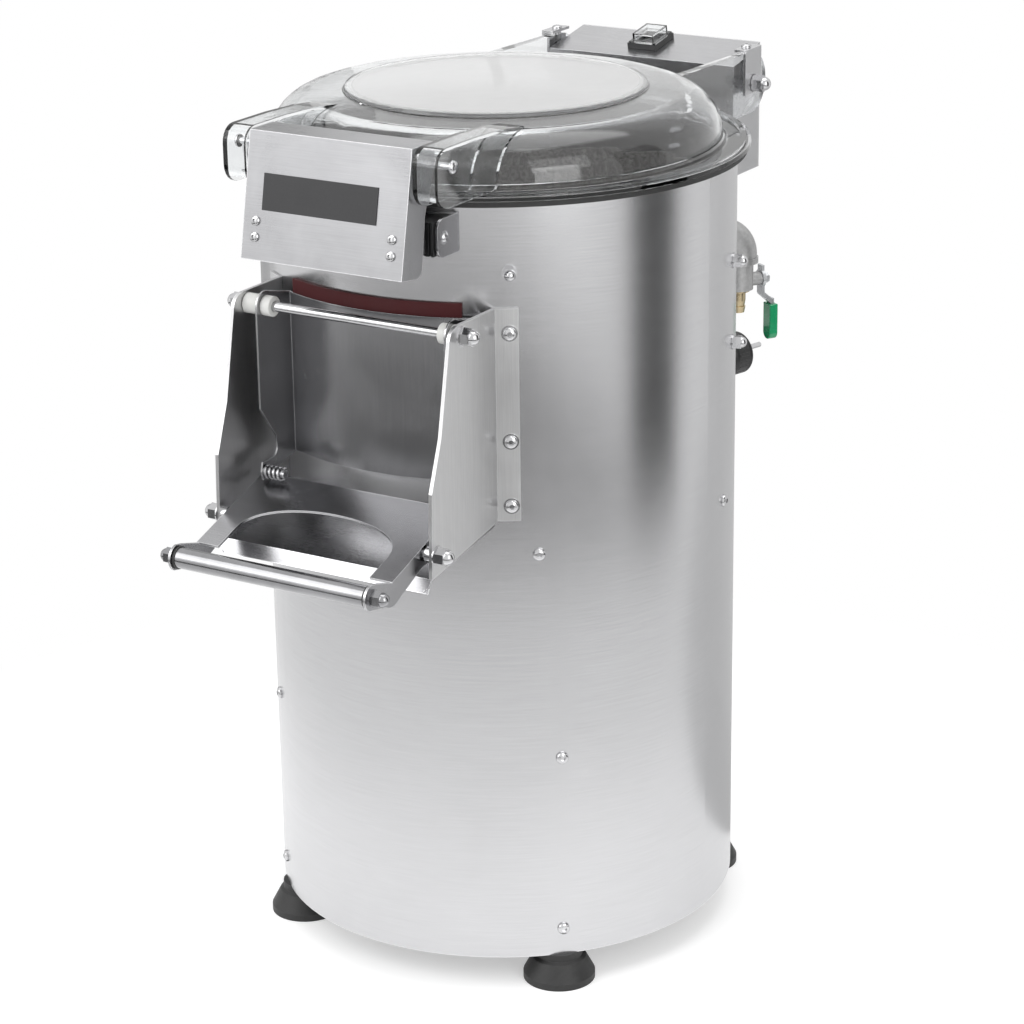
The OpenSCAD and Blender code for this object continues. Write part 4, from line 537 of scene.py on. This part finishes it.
FINISHES = (
    BrushedSteel("brushed round", Grain.ROUND, base=(0.59, 0.59, 0.60), shine=(0.24, 0.275), streaky=0.03,
                 mottled=0.02),
    BrushedSteel("brushed sideways", Grain.SIDEWAYS, base=(0.50, 0.50, 0.51), anisotropy=0.3),
    BrushedSteel("brushed upright", Grain.UPRIGHT, anisotropy=0.3),
    # Darker copy of the brushed steel for the latch box: its low base is painted shade.
    BrushedSteel("brushed face painted shade", Grain.SIDEWAYS, base=(0.37, 0.37, 0.38), shine=(0.24, 0.36), mottled=0.12),
    # Darker copy for the lever plate, the catch bracket and the chute floor: its low base is painted shade.
    BrushedSteel("brushed steel painted shade", Grain.SIDEWAYS, base=(0.38, 0.38, 0.39), shine=(0.2, 0.32), mottled=0.08),
    # Lighter copy of the brushed steel for the chute's side plates: its higher base is painted light.
    BrushedSteel("brushed plate painted light", Grain.UPRIGHT, base=(0.68, 0.68, 0.69), shine=(0.28, 0.38),
                 anisotropy=0.3),
    # Darker copy for the door: its low base is painted shade.
    BrushedSteel("brushed door painted shade", Grain.UPRIGHT, base=(0.38, 0.38, 0.39), shine=(0.2, 0.3), anisotropy=0.3),
    PolishedSteel("polished steel"),
    PolishedSteel("turned steel", base=(0.36, 0.36, 0.37), shine=(0.1, 0.24)),
    RawMetal("zinc plate", (0.62, 0.63, 0.64), (0.5, 0.51, 0.53), 1.0, (0.25, 0.42), 0.00008),
    RawMetal("cast grey", (0.50, 0.50, 0.50), (0.36, 0.36, 0.36), 0.85, (0.42, 0.6), 0.00035),
    RawMetal("motor paint", (0.045, 0.05, 0.06), (0.03, 0.034, 0.04), 0.0, (0.3, 0.5), 0.0002),
    RawMetal("satin brass", (0.62, 0.52, 0.34), (0.5, 0.4, 0.24), 1.0, (0.22, 0.4), 0.00006),
    RawMetal("dark plate", (0.026, 0.026, 0.028), (0.019, 0.019, 0.021), 0.0, (0.34, 0.48), 0.00003, 900),
    ClearPlastic("clear plastic"),
    ClearPlastic("lid plastic", milky=0.62, crown=0.124),
    Polymer("cord rubber", (0.02, 0.02, 0.021), (0.05, 0.05, 0.05), (0.4, 0.6), 0.00012, 500),
    Polymer("black rubber", (0.018, 0.018, 0.018), (0.06, 0.06, 0.06), (0.45, 0.7), 0.0002),
    # Red silicone whose base and dust colours are darkened as painted shade on the seal.
    Polymer("red silicone painted shade", (0.06, 0.002, 0.004), (0.09, 0.006, 0.009), (0.62, 0.8), 0.0001, dusty=0.3),
    Polymer("green vinyl", (0.0, 0.30, 0.11), (0.02, 0.40, 0.18), (0.18, 0.32), 0.00008, 300, 0.6),
    Polymer("black plastic", (0.016, 0.016, 0.017), (0.04, 0.04, 0.04), (0.28, 0.45), 0.00006, 1400),
    Polymer("white nylon", (0.80, 0.80, 0.78), (0.70, 0.70, 0.67), (0.35, 0.5), 0.00006, 500),
    Polymer("grey plastic", (0.50, 0.49, 0.46), (0.42, 0.41, 0.38), (0.4, 0.55), 0.00006, 900),
    Grit("abrasive grain"),
)

SLOT_FINISH = {
    "stainless": "brushed sideways",
    "polished_steel": "polished steel",
    "zinc_steel": "zinc plate",
    "cast_grey": "cast grey",
    "motor_paint": "motor paint",
    "brass": "satin brass",
    "clear_plastic": "clear plastic",
    "black_rubber": "black rubber",
    "red_silicone": "red silicone painted shade",
    "green_vinyl": "green vinyl",
    "black_plastic": "black plastic",
    "white_nylon": "white nylon",
    "grey_plastic": "grey plastic",
    "abrasive": "abrasive grain",
    "dark_plate": "dark plate",
}

NODE_FINISH = {
    "drum": "brushed round",
    "chamber_floor": "brushed round",
    "drain_pipe": "brushed upright",
    "drain_elbow": "brushed upright",
    "chute_left_plate": "brushed plate painted light",
    "chute_right_plate": "brushed plate painted light",
    "discharge_door": "brushed door painted shade",
    "catch_bracket": "brushed steel painted shade",
    "lever_plate": "brushed steel painted shade",
    "latch_box": "brushed face painted shade",
    "handle_tube": "turned steel",
    "chute_floor": "brushed steel painted shade",
    "lid_dome": "lid plastic",
    "cable_gland": "black plastic",
}


@dataclass
class Wardrobe:
    """Gives every solid its finish, and softens the edges of those that show."""

    record: dict
    softened: dict[str, float] = field(default_factory=dict)

    def slot_of(self, node: str) -> str:
        """Material slot of a node."""
        return next(s["material_slot"] for s in self.record["subparts"] if s["node"] == node)

    def body_of(self, node: str) -> str:
        """Body that a node rides on."""
        bodies = self.record["behaviour"]["bodies"]
        return next(body for body, nodes in bodies.items() if node in nodes)

    def finish_of(self, node: str) -> str:
        """Name of a node's material."""
        return NODE_FINISH.get(node) or SLOT_FINISH[self.slot_of(node)]

    def dress(self) -> None:
        """Dresses every node."""
        for node, obj in frame["nodes"].items():
            if node in self.softened:
                self.soft_copy(node, self.softened[node])
            obj.data.materials.clear()
            obj.data.materials.append(bpy.data.materials[self.finish_of(node)])

    def soft_copy(self, node: str, width: float) -> bpy.types.Object:
        """Stands a copy with rounded edges in for a node.

        Args:
            node: The node.
            width: Width of the rounding.

        Returns:
            The copy.
        """
        mould = Mould()
        mould.copy_of(node)
        obj = mould.piece(node + "_body", self.finish_of(node), self.body_of(node))
        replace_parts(obj, node)
        return soften(obj, width)


# ---------------------------------------------------------------- fitted pieces

RIBS_START = 4.6


def facing(at: Sequence[float], axis: Sequence[float]) -> Matrix:
    """Frame at a point, with its Z axis that way."""
    return Matrix.Translation(at) @ Vector(axis).to_track_quat("Z", "Y").to_matrix().to_4x4()


def smooth_route(points: Sequence[Vector], between: int) -> list[Vector]:
    """Smooth route through points.

    Args:
        points: Points that it passes through.
        between: Steps between each two.

    Returns:
        Points of the route.
    """
    ends = [2 * points[0] - points[1], *points, 2 * points[-1] - points[-2]]
    route = []
    for a, b, c, d in zip(ends, ends[1:], ends[2:], ends[3:]):
        for step in range(between):
            t = step / between
            route.append(0.5 * (2 * b + (c - a) * t + (2 * a - 5 * b + 4 * c - d) * t**2
                                + (3 * b - a - 3 * c + d) * t**3))
    return [*route, points[-1]]


def ribs(count: int, thick: float, taper: float, pitch: float, groove: float, lean: float,
         steps: Point) -> Outline:
    """Outline of the ribs round a sleeve, in millimetres.

    Args:
        count: Number of ribs.
        thick: Radius of the first rib.
        taper: How much thinner each next one is.
        pitch: Distance from one rib to the next.
        groove: Depth of the grooves.
        lean: How much thinner a rib is at its far side.
        steps: Where a groove ends, and where its rib starts and ends.

    Returns:
        Points of the outline.
    """
    outline = []
    for rib in range(count):
        radius, low = thick - taper * rib, RIBS_START + pitch * rib
        outline += [(radius - groove, low), (radius - groove, low + steps[0]), (radius, low + steps[1]),
                    (radius - lean, low + steps[2])]
    return outline


@dataclass
class MainsLead:
    """Mains lead: from its gland into a hank on the hook, then to the plug in its clip."""

    leaves: Point = (0.030, 0.266, 0.592)
    width: float = 8 * MM
    centre: float = -2 * MM
    upper: float = 536 * MM
    lower: float = 458 * MM
    runs: tuple[tuple[float, float], ...] = (
        (32, 266), (32, 274), (24, 274), (24, 266), (24, 258), (32, 258))
    turns: float = 5.02
    steps: int = 44
    straight: float = 0.235
    tail: tuple[Point, ...] = (
        (30, 258, 528), (30, 256, 514.5), (31, 252, 500.5), (34, 247, 487.5), (39, 242, 475.5),
        (46, 237, 465.5), (54, 232, 459.5), (63, 228, 456.5), (80.4, 223.1, 456.5))
    plug_at: Point = (0.1055, 0.2039, 0.4565)
    plug_turn: float = -16
    plug_radius: float = 19
    plug_long: float = 23
    grips: int = 18
    tie_height: float = 497 * MM
    tie_radius: float = 13.15

    def run_at(self, travelled: float) -> tuple[float, float]:
        """Radius and depth of the run; the cord crosses to the next run at the top.

        Args:
            travelled: Turns wound so far.

        Returns:
            Radius of the run's ends, and its depth behind the drum's axis.
        """
        passed = 0.0
        for move in range(len(self.runs) - 1):
            share = min(1.0, max(0.0, (travelled - move - 0.88 + 0.16 * move) / 0.14))
            passed += share * share * (3 - 2 * share)
        first = min(int(passed), len(self.runs) - 2)
        near, far = (Vector(run) for run in self.runs[first:first + 2])
        return tuple(near.lerp(far, passed - first) * MM)

    def in_hank(self, travelled: float) -> Vector:
        """Point of the hank.

        Args:
            travelled: Turns wound so far.

        Returns:
            The point on the cord's centreline.
        """
        radius, depth = self.run_at(travelled)
        share = travelled % 1.0
        side, share = (1, share) if share < 0.5 else (-1, share - 0.5)
        start, end = (self.upper, self.lower) if side > 0 else (self.lower, self.upper)
        if share < self.straight:
            height = start + (end - start) * share / self.straight
            return Vector((self.centre + side * radius, depth, height))
        angle = math.pi * (share - self.straight) / (0.5 - self.straight)
        return Vector((self.centre + side * radius * math.cos(angle), depth,
                       end - side * radius * math.sin(angle)))

    def route(self) -> list[Vector]:
        """Whole route.

        Returns:
            Points of the centreline, from the gland to the plug.
        """
        drop = self.leaves[2] - self.upper
        lead = [Vector(self.leaves) - Vector((0, 0, drop * i / 9)) for i in range(9)]
        count = round(self.turns * self.steps)
        hank = [self.in_hank(self.turns * i / count) for i in range(count)]
        return lead + hank + smooth_route([Vector(p) * MM for p in self.tail], 5)

    def cord(self) -> tuple[bpy.types.Object, float]:
        """Lays the cord along its route.

        Returns:
            The cord, and its length.
        """
        route = self.route()
        curve = bpy.data.curves.new("mains_cord", "CURVE")
        curve.dimensions, curve.bevel_depth, curve.bevel_resolution = "3D", self.width / 2, 4
        curve.use_fill_caps = True
        spline = curve.splines.new("POLY")
        spline.points.add(len(route) - 1)
        for point, place in zip(spline.points, route):
            point.co = (*place, 1)
        spline.use_smooth = True
        obj = bpy.data.objects.new("mains_cord", curve)
        bpy.context.scene.collection.objects.link(obj)
        curve.materials.append(bpy.data.materials["cord rubber"])
        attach(obj, "frame")
        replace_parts(obj, "cord_lead", "cord_hank", "cord_tail")
        return obj, sum((b - a).length for a, b in zip(route, route[1:]))

    def boot(self) -> bpy.types.Object:
        """Ribbed, tapered sleeve under the gland."""
        sleeve = ribs(6, thick=6.6, taper=0.3, pitch=3.6, groove=1.1, lean=0.15, steps=(1.2, 1.6, 3.2))
        mould = Mould()
        mould.lathe([(4.02, 0), (6.9, 0), (6.9, 4), *sleeve, (4.7, 26.6), (4.02, 27)],
                    facing(self.leaves, (0, 0, -1)), 40)
        return mould.piece("lead_boot", "black rubber", "frame")

    def tie(self) -> bpy.types.Object:
        """Strap round one side of the hank, with its head and its loose end."""
        inner, outer, half = self.tie_radius, self.tie_radius + 1.15, 2.4
        at = Vector((self.centre - 28 * MM, self.leaves[1], self.tie_height))
        head = Matrix.Translation(at + Vector((0, 15.2 * MM, 0)))
        end = Matrix.Translation((9 * MM, 1 * MM, 0)) @ Matrix.Rotation(0.25, 4, "Z")
        mould = Mould()
        mould.lathe([(inner, -half), (outer, -half), (outer, half), (inner, half)],
                    Matrix.Translation(at), 56)
        mould.box(head, (7, 4, 7.4))
        mould.box(head @ end, (14, 1.1, 4.4))
        return soften(mould.piece("hank_tie", "black plastic", "frame"), 0.4 * MM)

    def plug(self) -> bpy.types.Object:
        """Moulded plug with a grip all round and a ribbed neck."""
        turn = Matrix.Rotation(math.radians(self.plug_turn), 4, "Z")
        pins, neck = turn @ Vector((0, 1, 0)), turn @ Vector((-1, 0, 0))
        radius, long = self.plug_radius, self.plug_long
        body = facing(self.plug_at, pins)
        mould = Mould()
        mould.lathe([(0, 0.6), (11, 0.6), (12, 0), (radius - 4.5, 0), (radius - 2.2, 0.8),
                     (radius - 0.8, 3.4), (radius - 0.4, 6), (radius - 0.4, long - 4.2),
                     (radius, long - 3.4), (radius, long - 1.4), (radius - 1.4, long),
                     (radius - 3.5, long), (radius - 4, long - 0.6), (0, long - 0.6)], body, 72)
        for grip in range(self.grips):
            place = body @ Matrix.Rotation(2 * math.pi * (grip + 0.5) / self.grips, 4, "Z")
            mould.box(place @ Matrix.Translation(((radius - 0.9) * MM, 0, 12.2 * MM)), (1.6, 3.2, 11.5))
        start = Vector(self.plug_at) + (pins * long / 2 + neck * (radius - 4)) * MM
        sleeve = ribs(3, thick=7.6, taper=0.6, pitch=3.4, groove=0.9, lean=0.2, steps=(1.1, 1.5, 3.0))
        mould.lathe([(0, 0), (8.4, 0), (8.2, 4), *sleeve, (5.0, 15.0), (4.1, 15.2), (4.1, 12.0), (0, 12.0)],
                    facing(start, neck), 40)
        obj = mould.piece("plug_body", "black plastic", "frame")
        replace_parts(obj, "mains_plug")
        return soften(obj, 0.5 * MM, 3)

    def build(self) -> None:
        cord, length = self.cord()
        others = [self.boot(), self.tie(), self.plug()]
        others += [frame["nodes"][node] for node in ("plug_pins", "cord_clip", "cable_gland")]
        log.info("mains lead: %.3f m", length)


@dataclass
class ToeSpring:
    """Coil spring on the toe of the door's left cheek."""

    start: Point = (-0.0812, -0.231, 0.447)
    radius: float = 5.0 * MM
    wire: float = 1.15 * MM
    turns: float = 4.4
    pitch: float = 4.1 * MM

    def build(self) -> None:
        """Winds the spring."""
        mould = Mould()
        mould.coil(self.radius, self.wire, self.turns, self.pitch, facing(self.start, (1, 0, 0)), 10)
        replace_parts(mould.piece("toe_coil", "polished steel", "door"), "toe_spring")


@dataclass
class HandleRings:
    """Black rings between the handle and the cheeks of its plate."""

    across: float = 89.6 * MM
    depth: float = -340 * MM
    height: float = 406 * MM

    def build(self) -> None:
        """Turns both rings."""
        for side, name in ((-1, "left"), (1, "right")):
            mould = Mould()
            mould.lathe([(8.55, -1.2), (9.2, -1.0), (9.4, 0), (9.2, 1.0), (8.55, 1.2)],
                        facing((side * self.across, self.depth, self.height), (1, 0, 0)), 48)
            mould.piece("handle_ring_" + name, "black rubber", "lever")


@dataclass
class CatchScrews:
    """Button screws with a round socket through the catch's ears."""

    out: float = 78.5 * MM
    depth: float = -207 * MM
    height: float = 656 * MM
    head: float = 4.2
    shank: float = 1.6
    high: float = 2.7
    socket: float = 1.6 * MM

    def build(self) -> None:
        """Turns both screws, with a washer under each head."""
        for side, name in ((-1, "left"), (1, "right")):
            mould = Mould()
            place = facing((side * self.out, self.depth, self.height), (side, 0, 0))
            head, shank, washer = self.head, self.shank, self.head + 1.4
            mould.lathe([(0, -4), (shank, -4), (shank, -0.2), (washer, -0.2), (washer, 0.5), (head, 0.5),
                         (head, 1.1), (0.8 * head, 2.2), (0.48 * head, self.high), (0, self.high)],
                        place, 40)
            inwards = place.inverted()
            top = [f for f in mould.bm.faces
                   if (inwards @ f.calc_center_median()).z > (self.high - 0.05) * MM]
            bmesh.ops.inset_region(mould.bm, faces=top, thickness=0.35 * MM, depth=0)
            sunk = list({v for f in top for v in f.verts})
            bmesh.ops.translate(mould.bm, verts=sunk, vec=(-side * self.socket, 0, 0))
            mould.piece("catch_screw_" + name, "polished steel", "frame")


# ---------------------------------------------------------------- stage


@dataclass
class Studio:
    """Pale floor, soft lamps, dark screens and the camera."""

    camera_at: Point = (1.3506, -2.1904, 1.2612)
    heading: float = 31.473
    pitch: float = -19.41
    roll: float = -0.80
    lens: float = 110.74
    floor_radius: float = 1.25
    floor_glow: float = 0.42
    fade: tuple[float, float] = (0.35, 0.75)
    surround: float = 0.66

    def build(self) -> None:
        """Builds the stage, apart from the camera."""
        self.floor()
        self.world()
        self.lamps()
        self.screens()

    def camera(self) -> None:
        """Places the camera."""
        data = bpy.data.cameras.new("camera")
        data.lens, data.sensor_width = self.lens, 36
        data.clip_start, data.clip_end = 0.05, 60
        obj = bpy.data.objects.new("camera", data)
        bpy.context.scene.collection.objects.link(obj)
        turn = Matrix.Rotation(math.radians(self.heading), 4, "Z") @ Matrix.Rotation(
            math.radians(90 + self.pitch), 4, "X") @ Matrix.Rotation(math.radians(self.roll), 4, "Z")
        obj.matrix_world = Matrix.Translation(self.camera_at) @ turn
        bpy.context.scene.camera = obj

    def floor(self) -> None:
        """Lays a round floor that turns to plain white towards its rim."""
        bm = bmesh.new()
        bmesh.ops.create_circle(bm, cap_ends=True, segments=96, radius=self.floor_radius)
        s = Shader("pale floor", Roughness=0.9)
        place = s.place()
        speckle = s.noise(place, 3, 2)
        s.feed("Base Color", s.blend(s.spread(speckle, 0, 1), (0.80, 0.80, 0.80), (0.82, 0.82, 0.82)))
        glow = s.add("Emission", Color=(1, 1, 1, 1), Strength=self.floor_glow)
        lifted = s.add("AddShader", i0=s.surface.outputs[0], i1=glow.outputs[0])
        white = s.add("Emission", Color=(1, 1, 1, 1), Strength=1.0)
        reach = s.add("VectorMath", {"operation": "LENGTH"}, i0=place).outputs["Value"]
        faded = s.add("MixShader", i0=s.spread(reach, 0, 1, *self.fade), i1=lifted.outputs[0],
                      i2=white.outputs[0])
        mixed = s.add("MixShader", i0=s.seen_directly(), i1=s.surface.outputs[0], i2=faded.outputs[0])
        s.tree.links.new(mixed.outputs[0], s.tree.nodes["Material Output"].inputs["Surface"])
        self.put_out("floor", bm, s.material)

    def put_out(self, name: str, bm: bmesh.types.BMesh, finish: bpy.types.Material,
                mirrored: bool = False) -> None:
        """Puts a piece of the stage in its place.

        Args:
            name: Name of the piece.
            bm: Its mesh.
            finish: Its material.
            mirrored: Whether it only shows in reflections.
        """
        mesh = bpy.data.meshes.new(name)
        bm.to_mesh(mesh)
        bm.free()
        mesh.materials.append(finish)
        obj = bpy.data.objects.new(name, mesh)
        bpy.context.scene.collection.objects.link(obj)
        if mirrored:
            obj.visible_camera = obj.visible_diffuse = obj.visible_shadow = obj.visible_transmission = False

    def world(self) -> None:
        """Lights the scene from all round, and shows white behind it."""
        world = bpy.data.worlds.new("studio")
        bpy.context.scene.world = world
        world.use_nodes = True
        tree = world.node_tree
        back = tree.nodes["Background"]
        back.inputs["Color"].default_value = (1, 1, 1, 1)
        path = tree.nodes.new("ShaderNodeLightPath")
        seen = path.outputs["Is Camera Ray"]
        for ray in ("Is Transmission Ray", "Is Glossy Ray"):
            either = tree.nodes.new("ShaderNodeMath")
            either.operation = "MAXIMUM"
            tree.links.new(seen, either.inputs[0])
            tree.links.new(path.outputs[ray], either.inputs[1])
            seen = either.outputs[0]
        level = tree.nodes.new("ShaderNodeMapRange")
        level.inputs["To Min"].default_value = self.surround
        level.inputs["To Max"].default_value = 1.0
        tree.links.new(seen, level.inputs["Value"])
        tree.links.new(level.outputs[0], back.inputs["Strength"])

    def round_about(self, azimuth: float, reach: float, height: float) -> Point:
        """Point at that angle from the front, towards +X, and that far from the drum's axis."""
        angle = math.radians(azimuth)
        return (reach * math.sin(angle), -reach * math.cos(angle), height)

    def lamp(self, name: str, at: Point, size: tuple[float, float], power: float,
             aim: Point = (0, 0, 0.4)) -> None:
        """Adds one softbox.

        Args:
            name: Name of the lamp.
            at: Place of its middle.
            size: Width and height.
            power: Power in watts.
            aim: Point that it faces.
        """
        data = bpy.data.lights.new(name, "AREA")
        data.shape, data.size, data.size_y, data.energy = "RECTANGLE", *size, power
        obj = bpy.data.objects.new(name, data)
        bpy.context.scene.collection.objects.link(obj)
        turn = (Vector(aim) - Vector(at)).to_track_quat("-Z", "Y").to_matrix().to_4x4()
        obj.matrix_world = Matrix.Translation(at) @ turn

    def lamps(self) -> None:
        """Hangs the softboxes."""
        self.lamp("key", (-1.6, -2.6, 2.6), size=(2.8, 2.8), power=44)
        self.lamp("front left", self.round_about(-36, 2.3, 1.2), size=(1.7, 1.1), power=4.2, aim=(0, 0, 0.7))
        self.lamp("side", self.round_about(60, 2.0, 0.95), size=(0.8, 1.1), power=6.5, aim=(0, 0, 0.6))
        self.lamp("fill", (2.6, -1.2, 2.2), size=(1.6, 1.6), power=8)
        self.lamp("top", (0.0, 0.3, 2.8), size=(2.0, 2.0), power=22)

    def screens(self) -> None:
        """Stands the screens and lays the rugs that give the steel its darker bands."""
        self.screen("dark_screen", azimuth=105, reach=1.3, size=(0.62, 1.5), shade=0.02)
        self.screen("grey_screen_back", azimuth=170, reach=1.6, size=(1.5, 1.5), shade=0.75)
        self.screen("grey_screen_left", azimuth=-120, reach=1.6, size=(1.2, 1.5), shade=0.55)
        self.rug("dark_rug", centre=(0, -0.85, -0.01), radius=1.75, shade=0.1)
        self.rug("grey_rug", centre=(0.1, 1.05, 0.0008), radius=0.85, shade=0.7)

    def matt(self, name: str, shade: float) -> bpy.types.Material:
        """Plain matt grey."""
        return Shader(name, Base_Color=(shade, shade, shade, 1), Roughness=1.0).material

    def screen(self, name: str, azimuth: float, reach: float, size: tuple[float, float],
               shade: float) -> None:
        """Stands a screen on the floor that only shows in reflections.

        Args:
            name: Name of the screen.
            azimuth: Angle from the front, towards +X.
            reach: Distance from the drum's axis.
            size: Width and height.
            shade: Its grey.
        """
        width, height = size
        place = Matrix.Translation(self.round_about(azimuth, reach, height / 2)) @ Matrix.Rotation(
            math.radians(azimuth), 4, "Z") @ Matrix.Rotation(math.pi / 2, 4, "X")
        bm = bmesh.new()
        bmesh.ops.create_grid(bm, x_segments=1, y_segments=1, size=0.5,
                              matrix=place @ Matrix.Diagonal((width, height, 1, 1)))
        self.put_out(name, bm, self.matt(name, shade), mirrored=True)

    def rug(self, name: str, centre: Point, radius: float, shade: float) -> None:
        """Lays a round rug that only shows in reflections.

        Args:
            name: Name of the rug.
            centre: Its middle.
            radius: Its radius.
            shade: Its grey.
        """
        bm = bmesh.new()
        bmesh.ops.create_circle(bm, cap_ends=True, segments=64, radius=radius,
                                matrix=Matrix.Translation(centre))
        self.put_out(name, bm, self.matt(name, shade), mirrored=True)


# ---------------------------------------------------------------- main

SOFT_EDGES = {
    "chute_left_plate": 0.0005,
    "chute_right_plate": 0.0005,
    "chute_floor": 0.0005,
    "discharge_door": 0.0004,
    "lever_plate": 0.0005,
    "latch_box": 0.0016,
    "catch_bracket": 0.0004,
    "lid_brackets": 0.0004,
    "control_box": 0.0012,
    "box_cover": 0.0004,
    "box_bracket": 0.0004,
    "switch_base": 0.0005,
    "switch_rocker": 0.0005,
    "switch_cap": 0.0004,
    "name_plate": 0.0001,
    "lid_dome": 0.0006,
    "valve_sleeve": 0.0028,
    "door_seal": 0.0006,
    "door_bushings": 0.0006,
    "safety_switch": 0.0005,
}


def main() -> None:
    """Builds the scene."""
    logging.basicConfig(level=logging.INFO, format="%(message)s")
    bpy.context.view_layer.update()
    for finish in FINISHES:
        finish.make()
    bpy.context.scene.view_settings.view_transform = "Standard"
    studio = Studio()
    studio.camera()
    MainsLead().build()
    ToeSpring().build()
    HandleRings().build()
    CatchScrews().build()
    Wardrobe(frame["record"], SOFT_EDGES).dress()
    studio.build()


if __name__ == "__main__":
    main()
